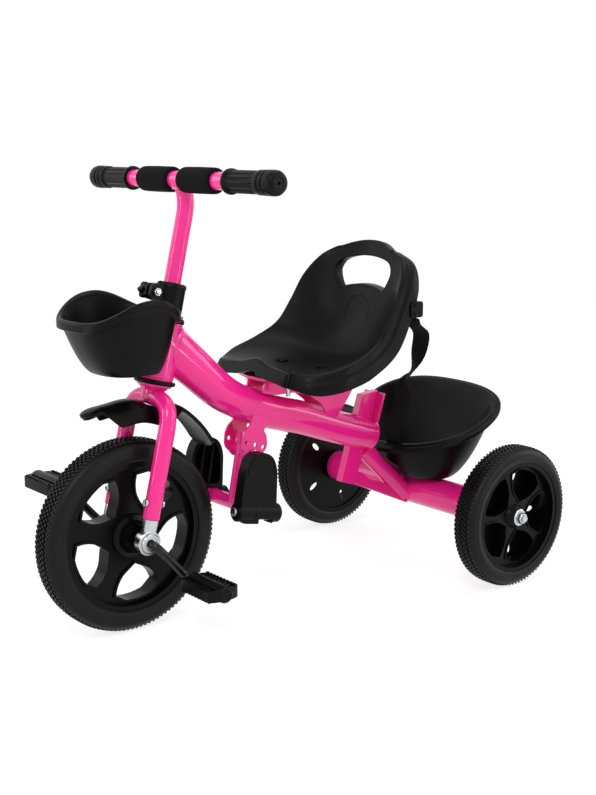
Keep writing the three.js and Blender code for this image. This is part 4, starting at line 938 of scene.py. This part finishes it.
# %% Crank and bushes
CRANK_THROW, CRANK_PLANE, CRANK_RADIUS, CRANK_BEND, PEDAL_LENGTH = 70, 66.5, 5.5, 17, 74
CRANK_ANGLE = math.radians(-48)
arm = Vector((0, math.cos(CRANK_ANGLE), math.sin(CRANK_ANGLE))) * CRANK_THROW * MM
reach = (CRANK_PLANE + 8 + PEDAL_LENGTH) * MM
plane = Vector((CRANK_PLANE * MM, 0, 0))
crank_corners = [-arm - Vector((reach, 0, 0)), -arm - plane, -plane, plane, plane + arm,
                 arm + Vector((reach, 0, 0))]
crank_line = [front_hub + p for p in bent(crank_corners, CRANK_BEND * MM, steps=14)]
across = Vector((1, 0, 0)).cross(arm).normalized()
crank = tube("bent_crank", crank_line, CRANK_RADIUS, black_steel, side=across, sides=32)
belongs(crank, "black_steel", "crank")
for side, sign in SIDES:
    bush = turned(f"hub_bush_{side}", [
        (31.3, CRANK_HOLE), (31.3, 10.4), (31.9, 11), (36, 11), (36.6, 10.2), (40, 10), (40.6, 9.4),
        (40.6, CRANK_HOLE),
    ], front_hub, moulded_plastic, sides=56, sign=sign)
    belongs(bush, "black_plastic", f"hub_bush_{side}")


# %% Pedals
PEDAL_SLOTS = [(x, y) for y in (-15, 15) for x in (-21, 0, 21)]
STUD_ROWS, STUDS_IN_ROW, STUD_STEP = (-19, -10.6, 10.6, 19), 9, 7.0


def make_pedal(side, sign):
    """A block with a boss for the crank's end, slots through it and rows of studs on both faces."""
    half = PEDAL_LENGTH / 2
    centre = Vector(joint[f"pedal_{side}_spin"]["pos_m"])
    outline = [(-half, -20), (half - 6, -24), (half, -10), (half, 10), (half - 6, 24), (-half, 20)]
    outline = [(sign * x, y) for x, y in rounded(outline, 9)]
    body = plate("body", outline, -7, 7, moulded_plastic, axis="Z", place=centre)
    boss = turned("boss", [
        (-half, CORE), (-half, 9.6), (1.4 - half, 11), (half - 3, 11), (half - 1, 10.4), (half + 1.5, 7.6),
        (half + 1.5, CORE),
    ], centre, moulded_plastic, sides=56, sign=sign)
    slots = [plate("slot", rounded(rectangle(x - 8, x + 8, y - 3, y + 3), 2.4), -12, 12, moulded_plastic, axis="Z",
                   place=centre) for x, y in PEDAL_SLOTS]
    bore = rod("bore", -half - 1, half - 2, CRANK_HOLE, centre, moulded_plastic, sides=32, sign=sign)
    pedal = soften(cut(fuse(body, boss), *slots, bore), 1.0, segments=3)
    pieces = [pedal]
    for y in STUD_ROWS:
        for face in (1, -1):
            stud = plate("stud", rounded(rectangle(-2.1, 2.1, -1.7, 1.7), 0.5, 2), 6.4 * face, 8.9 * face,
                         moulded_plastic, axis="Z", place=ORIGIN)
            start = centre + Vector((sign * -30 * MM, y * MM, 0))
            pieces.append(repeat(stud, STUDS_IN_ROW, 0.0, start, moulded_plastic,
                                 shift=(sign * STUD_STEP * MM, 0, 0)))
    belongs(gather(f"pedal_{side}_tread", pieces), "black_plastic", f"pedal_{side}")


for side, sign in SIDES:
    make_pedal(side, sign)
print("crank and pedals made")

# %% [markdown]
# ## Mudguard
# A thin moulding over the wheel, dished where it fits under the crown of the fork. In the middle its sides
# drop as wings. In front of them it runs out in a narrow tongue, and behind them in a wider, lower tail.

# %% Mudguard: angles are in degrees round the front hub, from straight back (0) over the top (90)
MUDGUARD_RADIUS, MUDGUARD_WALL = 178, 4.6
FRONT_TIP, CROWN, TAIL, REAR_TIP = 115, 81, 74, 43
TONGUE_HALF, WING_HALF, TAIL_HALF = 14.5, 29, 26.5
WING_DROP, SADDLE_DEPTH, TAIL_FALL = 20, 11.5, 0.77
STATIONS = 110
mud_rings = []
for i in range(STATIONS + 1):
    degrees = FRONT_TIP + (REAR_TIP - FRONT_TIP) * i / STATIONS
    a = math.radians(degrees)
    wing = smoothstep(-degrees, -108.5, -102.5) * smoothstep(degrees, 69, TAIL)
    plain = TONGUE_HALF + (TAIL_HALF - TONGUE_HALF) * smoothstep(-degrees, -90, -66)
    from_tip = min(1.0, min(FRONT_TIP - degrees, degrees - REAR_TIP) / 5)
    half_width = (plain + (WING_HALF - plain) * wing) * max(0.12, (1 - (1 - from_tip) ** 2.4) ** (1 / 2.4))
    lift = 4 * smoothstep(degrees, 100, 112) - TAIL_FALL * max(0, TAIL - degrees)
    saddle = SADDLE_DEPTH * math.exp(-((a - math.radians(CROWN)) / 0.12) ** 2)
    ring = []
    for wall, order in ((0.0, 1), (MUDGUARD_WALL, -1)):
        for k in range(-12, 13)[::order]:
            t = k / 12
            drop = (3 + WING_DROP * wing) * abs(t) ** 2.6 + wall
            r = MUDGUARD_RADIUS + lift - saddle * (1 - 0.5 * abs(t) ** 3) - drop
            ring.append(spot(half_width * t * (0.95 if wall else 1), 14 + r * math.cos(a),
                             FRONT_RADIUS + r * math.sin(a)))
    mud_rings.append(ring)
guard = loft("guard", mud_rings, wheel_plastic, smooth_below=50)
guard = soften(guard, 1.7, angle=40, segments=4)
boss = on_steering(turned("boss", [(154, 3.4), (154, 8), (168.4, 8), (169.2, 7.2), (169.2, 3.4)], ORIGIN,
                          wheel_plastic, axis="Z", sides=40))
belongs(gather("front_mudguard", [guard, boss]), "black_plastic", "mudguard")
print("mudguard made")

# %% [markdown]
# ## Clamp, knob and handlebar
# A split collar squeezes the stem; the knob beside it sets the height of the bar.

# %% Clamp collar
CLAMP_BOLT = (-27, 313.7)
collar = turned("collar", [
    (289.5, 14.3), (289.5, 17.8), (290.3, 18.6), (322, 18.6), (322.6, 19.2), (326, 19.2), (328, 18), (329, 15.6),
    (329, 11.35), (325.3, 11.35), (325.3, 14.3),
], ORIGIN, moulded_plastic, axis="Z", sides=80)
ears = [plate("ear", rounded([(-35, 304), (-35, 323), (-13, 326), (-13, 301)], 6), low, low + 6, moulded_plastic,
              place=ORIGIN) for low in (2.5, -8.5)]
inside = rod("inside", 284, 325.3, 14.3, ORIGIN, moulded_plastic, axis="Z", sides=64)
slit = plate("slit", rectangle(-40, -10, 280, 335), -2.5, 2.5, moulded_plastic, place=ORIGIN)
clamp = soften(cut(fuse(collar, *ears), inside, slit), 0.9)
belongs(on_steering(clamp), "black_plastic", "stem_clamp")

# %% Knob, with six soft lobes
KNOB_RADIUS, LOBE, LOBES, KNOB_CORNERS = 10.4, 1.3, 6, 96
knob_rings = []
for x, shrink in ((-9.2, 1.0), (-9.6, 0.2), (-12, 0.0), (-17.5, 0.0), (-20.4, 1.0), (-21, 3.0), (-21, 6.0),
                  (-20.2, 6.6)):
    ring = []
    for k in range(KNOB_CORNERS):
        a = 2 * math.pi * k / KNOB_CORNERS
        r = KNOB_RADIUS - shrink + (LOBE - 0.15 * shrink) * math.cos(LOBES * a)
        ring.append(Vector((x, CLAMP_BOLT[0] + r * math.cos(a), CLAMP_BOLT[1] + r * math.sin(a))) * MM)
    knob_rings.append(ring)
knob = loft("knob", knob_rings, moulded_plastic)
shaft = turned("shaft", [(-9.6, CORE), (-9.6, 3), (14.2, 3), (15, 2.2), (15, CORE)],
               Vector((0, *CLAMP_BOLT)) * MM, zinc_plate, sides=32)
belongs(on_steering(gather("height_knob", [knob, shaft])), "black_plastic", "clamp_knob")

# %% Handlebar and stem
BAR, BAR_HALF, BAR_RADIUS = spot(0, 91, 577.2), 199, 11.2
bar = turned("bar", [(-BAR_HALF, 9.4), (-BAR_HALF, BAR_RADIUS), (BAR_HALF, BAR_RADIUS), (BAR_HALF, 9.4)], BAR,
             powder_coat, sides=56)
stem_line = [on_stem(0, 0, 250), on_stem(0, 0, 330)]
stem_line += [curve(on_stem(0, 0, 416.5), on_stem(0, 0, 443), BAR, k / 18) for k in range(19)]
stem = tube("stem", stem_line, 11, powder_coat, sides=48)
bar_seam = combine(tube("seam", [on_stem(0, 0, 430), BAR], 12.6, powder_coat, sides=48), "INTERSECT",
                   rod("ring", -20, 20, 13.2, BAR, powder_coat, sides=56))
belongs(gather("t_handlebar", [bar, stem, soften(bar_seam, 0.9)]), "pink_paint", "handlebar")


# %% Foam pads and grips. A grip has flanges at both ends and long ribs between them
RIBS_ROUND = 12
RIB_SECTION = ((-2.1, -0.6), (-1.5, 1.1), (0, 1.8), (1.5, 1.1), (2.1, -0.6))
# Place along the bar, and share of the section's full size.
RIB_TAPER = ((116, 0.3), (119, 0.8), (123, 1.0), (159, 1.0), (163, 0.8), (167, 0.3))


def make_sleeves(side, sign):
    def turned_out(name, profile, material):
        return turned(name, profile, BAR, material, sign=sign)

    pad = turned_out(f"bar_pad_{side}", [
        (12, 11.5), (12, 14.0), (13, 15.4), (15, 16.2), (20, 16.4), (46, 16.6), (72, 16.4), (78, 16.1), (80, 15.2),
        (81, 13.8), (81, 11.5),
    ], sleeve_foam)
    belongs(pad, "foam_pad", f"foam_pad_{side}")
    sleeve = turned_out("sleeve", [
        (108, 11.5), (108, 14.6), (109, 15.8), (111, 16), (113, 15.6), (115.5, 13.6), (118, 12.6), (166, 12.6),
        (168, 14.4), (170, 15), (176, 15), (177, 13.6), (179, 13.6), (180, 15.2), (184, 15.2), (185, 13.8),
        (187, 13.8), (188, 15.4), (194, 15.4), (199, 15), (202.4, 13.2), (204, 10.4), (204, 7), (203.2, 6.4),
        (203.2, 2.2), (199.3, 2.2), (199.3, 11.5),
    ], grip_rubber)
    rib = loft("rib", [[Vector((sign * x, y * w, 12.2 + h * w ** 0.5)) * MM for y, h in RIB_SECTION]
                       for x, w in RIB_TAPER], grip_rubber)
    ribs = repeat(rib, RIBS_ROUND, 2 * math.pi / RIBS_ROUND, BAR, grip_rubber)
    belongs(gather(f"ribbed_grip_{side}", [sleeve, ribs]), "grip_rubber", f"grip_{side}")


for side, sign in SIDES:
    make_sleeves(side, sign)
print("handlebar made")

# %% [markdown]
# ## Baskets
# Both baskets are tapered polypropylene buckets with a turned-out lip. The one at the front hugs the head
# tube; the one at the back is notched to clear the frame. Outlines are superellipses, as moulds often are.


# %% A moulded basket
def oval(shape, grow, height, count=128):
    """A ring whose shape holds y of its front, widest place and back, half its width and its ends' powers."""
    front, widest, back, half_x, front_power, back_power = shape
    ring = []
    for k in range(count):
        a = 2 * math.pi * (k + 0.5) / count
        c, s = math.cos(a), math.sin(a)
        power, reach = (back_power, back - widest) if s > 0 else (front_power, widest - front)
        x = (half_x + grow) * signed_power(c, 2 / power)
        y = widest + (reach + grow) * signed_power(s, 2 / power)
        ring.append(spot(x, y, height(x, y)))
    return ring


def make_basket(name, base, rim, rim_height, floor, lip, bulge, notch, wall=3.0):
    """A bucket from base to rim, each a shape for oval, with a notch(grow) cut out of one side.

    lip is the section of the turned-out lip: how far out and how far below the rim, from below to the top.
    bulge below 1 makes the walls belly out.
    """
    depth = max(drop for _, drop in lip)

    def level(t, grow, height):
        return oval([a + (b - a) * t for a, b in zip(base, rim)], grow, height)

    def between(t, drop, lift=0.0):
        return lambda x, y: lift + floor + (rim_height(x, y) - drop - floor) * t

    steps = [0.03, 0.07, 0.13, 0.2, 0.3, 0.4, 0.5, 0.6, 0.7, 0.8, 0.9]
    outer = [level(0, -7, lambda x, y: floor), level(0, -3.4, lambda x, y: floor + 0.9)]
    outer += [level(t ** bulge, 0, between(t, depth)) for t in steps]
    outer += [level(1, grow, between(1, drop)) for grow, drop in [(0, depth + 1)] + lip]
    inner = [level(0, -10, lambda x, y: floor + wall), level(0, -6.4, lambda x, y: floor + wall + 0.9)]
    inner += [level(t ** bulge, -wall, between(t, depth, wall)) for t in steps]
    inner += [level(1, -2.4, between(1, 4)), level(1, -1, between(1, 1.4)), level(1, 0.6, between(1, -0.1)),
              level(1, 0.6, between(1, -6))]
    outside = cut(loft(name, outer, moulded_plastic), notch(0))
    inside = cut(loft("inside", inner, moulded_plastic), notch(wall))
    return soften(cut(outside, inside), 0.9, angle=42, segments=3)


# %% Front basket
def front_rim(x, y):
    return 410 + 24 * (abs(x) / 66) ** 2 * max(0.0, math.cos((y - 3) / 46)) ** 0.8


def front_notch(grow):
    outline = rounded(rectangle(-31 - grow, 31 + grow, -30 - grow, 170), 9 + grow)
    slab = plate("notch", outline, -60, 540, moulded_plastic, axis="Z", place=ORIGIN)
    return on_steering(slab)


FRONT_FLOOR, REAR_FLOOR = 338, 126.5
BAND = [(5.4, 12.4), (6.2, 11.6), (6.4, 4.0), (5.8, 1.6), (4.2, 0.4), (2.4, 0.0), (0.8, 0.2)]
front_basket = make_basket("front_basket_shell", (-32, 3, 38, 44, 2.6, 2.6), (-70, -5, 62, 66, 2.6, 2.6), front_rim,
                           FRONT_FLOOR, BAND, 0.6, front_notch)
belongs(front_basket, "black_plastic", "front_basket")


# %% Rear basket
def rear_rim(x, y):
    t = (y - 438) / 167
    return 180 + 68 * t + 17 * t * t


def rear_notch(grow):
    outline = [(424, 90), (424, 169.2 + grow), (441 + grow, 169.2 + grow), (472 + grow, 144 + grow),
               (500 + grow, 124 + grow), (512 + grow, 90)]
    return plate("notch", outline, -20 - grow, 20 + grow, moulded_plastic)


STEPPED = [(11, 9.6), (12, 8.8), (12, 4.6), (11, 3.6), (6.6, 2.8), (5.6, 2.4), (5, 0.8), (4.2, 0.1), (2.4, 0.0),
           (0.8, 0.3)]
rear_basket = make_basket("rear_basket_shell", (480, 514, 541, 62, 2.4, 2.6), (450, 535.5, 593, 122, 1.95, 2.57),
                          rear_rim, REAR_FLOOR, STEPPED, 0.62, rear_notch)
belongs(rear_basket, "black_plastic", "rear_basket")
print("baskets made")

# %% [markdown]
# ## Seat
# The seat is the largest moulding: a bucket with a raised pommel in front, a rolled edge with a deep skirt
# and a hand slot in the back. Its sections follow one curve down the middle and one along the edge.

# %% Sections along the seat: centre y and z, the edge's x, y and z, and the skirt's depth
SEAT_STATIONS = [
    (207, 330, 78, 206, 325, 20), (236, 319, 103, 231, 323, 27), (272, 316, 118, 262, 331, 31),
    (318, 317, 119, 303, 344, 33), (362, 328, 113, 338, 364, 34), (388, 362, 108, 360, 396, 34),
    (402, 410, 103, 381, 432, 30), (413, 452, 86, 400, 460, 20), (422, 487, 52, 410, 478, 13),
]
SEAT_ROWS, SEAT_COLUMNS, SEAT_WALL, POMMEL, SEAT_ROUND = 84, 60, 4.0, 7.0, 5.0
SLOPE_STEP = 0.004  # a short step along the curve, to take its direction
MIDDLE = [Vector((0, s[0], s[1])) for s in SEAT_STATIONS]
EDGE = [Vector((s[2], s[3], s[4])) for s in SEAT_STATIONS]
SKIRT = [Vector((s[5], 0.001 * i, 0)) for i, s in enumerate(SEAT_STATIONS)]  # y only keeps the points apart


def seat_ring(t, depth, shift=0.0, shrink=0.0):
    """One closed section, at t from the front (0) to the top of the back (1).

    shift moves it along the seat and shrink draws it in, both for round ends.
    """
    middle, rim, skirt = through(MIDDLE, t), through(EDGE, t), through(SKIRT, t).x - shrink
    slope = (through(MIDDLE, min(1, t + SLOPE_STEP)) - through(MIDDLE, max(0, t - SLOPE_STEP))).normalized()
    normal = Vector((0, -slope.z, slope.y))
    middle, rim = middle + slope * shift - normal * shrink, rim + slope * shift - normal * shrink
    rim.x -= 1.4 * shrink
    depth = min(depth, skirt - 0.5)
    pommel = POMMEL * max(0.0, 1 - t * 5) ** 1.5
    top = []
    for k in range(SEAT_COLUMNS + 1):
        across = 2 * k / SEAT_COLUMNS - 1
        point = middle.lerp(Vector((0, rim.y, rim.z)), abs(across) ** 2.3)
        point.x = rim.x * across
        top.append(point + normal * pommel * math.exp(-(across / 0.28) ** 2))

    turned_out = 0.15 + 0.85 * smoothstep(t, 0, 0.1) * smoothstep(1 - t, 0, 0.1)

    def rim_point(out, down, sign):
        return Vector((sign * (rim.x + out * turned_out), rim.y, rim.z)) - normal * down

    roll = [(1.6, 0.3), (3, 1.3), (4.1, 3), (4.6, 0.18 * skirt), (5, 0.3 * skirt), (5.7, 0.36 * skirt),
            (8.1, 0.42 * skirt), (9, 0.5 * skirt), (9.2, 0.75 * skirt), (9, skirt - 0.8), (8, skirt)]
    hollow = [(6.4, skirt), (5.6, skirt - 0.8), (5, 0.6 * skirt), (3.6, 0.4 * skirt),
              (2, min(max(depth, 6), skirt - 0.6))]
    right = [rim_point(out, down, 1) for out, down in roll + hollow]
    left = [rim_point(out, down, -1) for out, down in reversed(roll + hollow)]
    under = [p - normal * depth for p in reversed(top[1:-1])]
    return [spot(*p) for p in top + right + under + left]


# %% The shell with round ends
DEEP = 100  # more than any skirt, so that an end section is solid
ends = [math.radians(q) for q in (90, 72, 54, 36, 18, 0)]
rings = [seat_ring(0, DEEP, SEAT_ROUND * (1 - math.sin(q)), SEAT_ROUND * (1 - math.cos(q))) for q in ends]
rings += [seat_ring(0, SEAT_WALL, SEAT_ROUND + 0.2)]
rings += [seat_ring(k / SEAT_ROWS, SEAT_WALL) for k in range(2, SEAT_ROWS - 1)]
rings += [seat_ring(1, SEAT_WALL, -SEAT_ROUND - 0.2)]
rings += [seat_ring(1, DEEP, -SEAT_ROUND * (1 - math.sin(q)), SEAT_ROUND * (1 - math.cos(q)))
          for q in reversed(ends)]
seat = loft("bucket_seat", rings, moulded_plastic, smooth_below=48)


# %% Hand slot: a D with an arched top and bottom
def slot_outline(grow):
    low, high, narrow, wide = 416 - grow, 455 + grow, 46 + grow, 59 + grow
    waist, waist_height = (narrow + wide) / 2 + 3, (low + high - 18) / 2
    line = []
    for start, towards, end, steps in (
        ((-narrow, low), (0, low + 15), (narrow, low), 24),
        ((narrow, low), (waist, waist_height), (wide, high - 16), 10),
        ((wide, high - 16), (wide - 1, high), (wide - 20, high + 4), 12),
        ((wide - 20, high + 4), (0, high + 13), (20 - wide, high + 4), 30),
        ((20 - wide, high + 4), (1 - wide, high), (-wide, high - 16), 12),
        ((-wide, high - 16), (-waist, waist_height), (-narrow, low), 10),
    ):
        line += [tuple(curve(Vector(start), Vector(towards), Vector(end), k / steps)) for k in range(steps)]
    return line


def surface_of(obj):
    edit = bmesh.new()
    edit.from_mesh(obj.data)
    tree = BVHTree.FromBMesh(edit)
    edit.free()
    return tree


seat_surface = surface_of(seat)


def on_seat(x, z):
    """The place and normal where a line from the front, at this x and height, meets the seat's back."""
    place, normal, _, _ = seat_surface.ray_cast(spot(x, 250, z), Vector((0, 1, 0)))
    return place, normal


seat = cut(seat, plate("slot", slot_outline(0.6), 340, 480, moulded_plastic, axis="Y"))
collar_rings = []
for (x, z), (x_out, z_out) in zip(slot_outline(0), slot_outline(4)):
    face, _ = on_seat(x, z)
    face_out, _ = on_seat(x_out, z_out)

    def at(share, deep):
        return face.lerp(face_out, share) + Vector((0, deep * MM, 0))

    collar_rings.append([at(0.95, 0.6), at(0.7, -0.3), at(0.35, -0.4), at(0.1, 0.3), at(0, 1.6), at(0, 15.2),
                         at(0.12, 16.2), at(0.5, 16.4), at(0.7, 15.4), at(0.75, 3)])
collar = loft("slot_collar", collar_rings, moulded_plastic, closed=True, smooth_below=50)

# %% The raised arc under the slot, and the screw seats
ARC_FROM, ARC_SWEEP, ARC_STEPS, ARC_HEIGHT = -20, 220, 48, 384
arc_rings = []
for k in range(ARC_STEPS + 1):
    a = math.radians(ARC_FROM + ARC_SWEEP * k / ARC_STEPS)
    ring = []
    for r, up in ((23, -0.3), (23.3, 0.35), (24, 0.6), (24.7, 0.35), (25, -0.3)):
        place, normal = on_seat(r * math.cos(a), ARC_HEIGHT + r * math.sin(a))
        ring.append(place + normal * up * MM)
    arc_rings.append(ring)
arc_line = loft("arc", arc_rings, moulded_plastic, smooth_below=70)
SEAT_BOLTS, SEAT_HOLE = [(x, y) for y in (232, 291) for x in (-44, 44)], 3.6
wells = [turned("well", [
    (300, CORE), (300, SEAT_HOLE), (314.2, SEAT_HOLE), (314.2, 6.5), (345, 7.4), (345, CORE),
], spot(x, y, 0), moulded_plastic, axis="Z", sides=32) for x, y in SEAT_BOLTS]
bosses = [turned("boss", [
    (308.3, SEAT_HOLE), (308.3, 8.4), (309, 9), (319, 9), (319, 6.9), (314.4, 6.5), (314.4, SEAT_HOLE),
], spot(x, y, 0), moulded_plastic, axis="Z", sides=40) for x, y in SEAT_BOLTS]
seat = cut(seat, *wells)
belongs(gather("bucket_seat", [seat, collar, arc_line, *bosses]), "black_plastic", "seat")
print("seat made")

# %% Strap clip: a small buckle on the edge of the back, with two pegs
clip = plate("strap_buckle", rounded(rectangle(389, 411, 387, 409), 4), 112, 119, moulded_plastic)
tongue = plate("tongue", rounded(rectangle(403, 411, 386.6, 396), 2), 95, 113, moulded_plastic)
pegs = [turned("peg", [(114, CORE), (114, 2.2), (120.4, 2.2), (121.2, 1.4), (121.2, CORE)], spot(0, 396, z),
               moulded_plastic, sides=24) for z in (404, 392)]
belongs(soften(fuse(clip, tongue, *pegs), 0.6), "black_plastic", "strap_clip")

# %% [markdown]
# ## Seat bracket and footrest
# A folded steel plate carries the seat. The footrest hangs from two ears under the main tube; its plates
# stand upright when it is folded away.


# %% Seat bracket
def tube_height(y):
    """Height of the main tube's centre line at one place along the tricycle, in millimetres."""
    line = [through(MAIN_CURVE, k / 200) for k in range(201)]
    nearest = min(line, key=lambda p: abs(p.y - spot(0, y, 0).y))
    return nearest.z / MM


side_outline = [(212, 304.5), (206, 290), (230, 284), (262, 284), (290, 277), (312, tube_height(312) + 27),
                (324, tube_height(324) + 12), (339, tube_height(339) + 12), (362, 264), (380, 290), (380, 304.5)]
top_outline = [(-56, 222), (-24, 212), (24, 212), (56, 222), (56, 303), (24, 380), (-24, 380), (-56, 303)]
walls = [plate("wall", rounded(side_outline, 5), low, low + 3, powder_coat) for low in (17, -20)]
deck = plate("seat_bracket_plate", rounded(top_outline, 7), 304, 308, powder_coat, axis="Z")
holes = [rod("hole", 290, 320, SEAT_HOLE, spot(x, y, 0), powder_coat, axis="Z", sides=32) for x, y in SEAT_BOLTS]
bracket = cut(fuse(deck, *walls), *holes)
belongs(soften(bracket, 0.8), "pink_paint", "seat_bracket")

# %% Footrest ears
PIVOT, PIVOT_HOLE, LOCK_HOLE = (187, 208), 4.3, 3
ear_outline = [(188, 262), (187, 250), (173, 240), (169, 212), (192, 199), (214, 212), (212, 232), (207, 238),
               (215, 246), (215, 262)]
for side, low in (("left", 18.5), ("right", -21.5)):
    ear = plate(f"footrest_ear_{side}", rounded(ear_outline, 13, steps=12), low, low + 3, powder_coat)
    drilled = [rod("hole", low - 2, low + 5, radius, spot(0, y, z), powder_coat, sides=32)
               for y, z, radius in ((*PIVOT, PIVOT_HOLE), (178, 225, LOCK_HOLE), (193, 220, LOCK_HOLE),
                                    (206, 215, LOCK_HOLE))]
    belongs(soften(cut(ear, *drilled), 0.7), "pink_paint", f"footrest_bracket_{side}")

# %% Footrest frame
DROP, HINGE_X, HINGE_HOLE = -72, 60, 3.4
HANG = math.radians(-11)  # the tube hangs a little forwards
FOLD = Matrix.Translation(spot(0, *PIVOT)) @ Matrix.Rotation(HANG, 4, "X")


def on_footrest(obj):
    """Moves a piece made round the origin to the footrest's pivot, at its angle of rest."""
    obj.data.transform(FOLD)
    return obj


hanger = tube("footrest_frame_tube", [Vector((0, 0, 25)) * MM, Vector((0, 0, DROP)) * MM], 10.5, powder_coat,
              sides=44)
sleeve = rod("sleeve", -18.2, 18.2, 9, ORIGIN, powder_coat, sides=44)
cross = rod("cross", 6 - HINGE_X, HINGE_X - 6, 10, Vector((0, 0, DROP)) * MM, powder_coat, sides=44)
barrels = [turned("barrel", [(-22, HINGE_HOLE), (-22, 10), (24, 10), (24, HINGE_HOLE)], Vector((x, 0, DROP)) * MM,
                  powder_coat, axis="Y", sides=44) for x in (HINGE_X, -HINGE_X)]
pivot_bore = rod("bore", -40, 40, PIVOT_HOLE, ORIGIN, powder_coat, sides=24)
hanger = soften(cut(fuse(hanger, sleeve, cross, *barrels), pivot_bore), 0.9, angle=40)
belongs(on_footrest(hanger), "pink_paint", "footrest_frame")


# %% Footplates: trays that open inwards, with two ribs, a fine ridge on the outer face and a round hinge cover
def block(name, x0, x1, y0, y1, z0, z1, round_by):
    return plate(name, rounded(rectangle(y0, y1, z0, z1), round_by), x0, x1, moulded_plastic, place=ORIGIN)


def make_footplate():
    """The left plate, upright over its hinge, which runs along Y through the origin."""
    paddle = [(-44, -14), (-44, 58), (-39, 76), (-22, 83), (-3, 79), (8, 62), (16, 8), (16, -14)]
    tray = [(-38, 16), (-38, 56), (-33, 71), (-20, 77), (-5, 72), (3, 58), (10, 16)]
    body = plate("footplate", rounded(paddle, 12, 10), -7, 10, moulded_plastic, place=ORIGIN)
    body = cut(body, plate("tray", rounded(tray, 10, 10), -9, 5.5, moulded_plastic, place=ORIGIN))
    cover = turned("cover", [
        (-44, CORE), (-44, 11.6), (-42.6, 13), (-20, 13), (-19, 12), (-18, 13), (24.6, 13), (26, 11.6), (26, CORE),
    ], ORIGIN, moulded_plastic, axis="Y", sides=64)
    body = fuse(body, cover)
    screw_hole = rod("hole", -60, 60, HINGE_HOLE, ORIGIN, moulded_plastic, axis="Y", sides=24)
    room = rod("room", -22.3, 24.3, 10.7, ORIGIN, moulded_plastic, axis="Y", sides=44)
    body = cut(body, screw_hole, room, block("room", -20, 4, -11, 11, -20, 11, 1),
               block("room", -20, 10.6, -11, 11, -20, -1, 1))
    body = soften(body, 2.4, angle=38, segments=4)
    bars = [block("bar", -4, 6, y - 1.2, y + 1.2, 18, 70, 0.8) for y in (-24, -8)]
    rim_line = [(-40, 20), (-40, 58), (-35, 73), (-21, 79.4), (-4, 75), (4.6, 60), (11.6, 20)]
    bead = [Vector((10.2 * MM, y * MM, z * MM)) for y, z in rounded(rim_line, 10, 8)[9:-9]]
    ridge = tube("ridge", bead, 0.8, moulded_plastic, side=Vector((1, 0, 0)), sides=12)
    return gather("footplate", [body, *bars, ridge])


left_plate = make_footplate()
right_plate = mirrored(left_plate, "ribbed_footplate_right")
left_plate.name = "ribbed_footplate_left"
for piece, (side, sign) in zip((left_plate, right_plate), SIDES):
    piece.data.transform(Matrix.Translation(Vector((sign * HINGE_X, 0, DROP)) * MM))
    belongs(on_footrest(piece), "black_plastic", f"footplate_{side}")
print("footrest made")

# %% Small fasteners and the basket bracket
keep_cad(zinc_plate, "seat_bolt_1", "seat_bolt_2", "seat_bolt_3", "seat_bolt_4", "footrest_bolt",
         "footplate_screw_left", "footplate_screw_right", "mudguard_bolt", "clamp_nut", "basket_bracket")
print("fasteners and basket bracket kept from CAD")

# %% [markdown]
# ## Sizes
# The CAD box and the box of the finished surface are printed, so that they can be compared.

# %% Finish
low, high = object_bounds()
print("finished box:", [round(v, 3) for v in high - low])
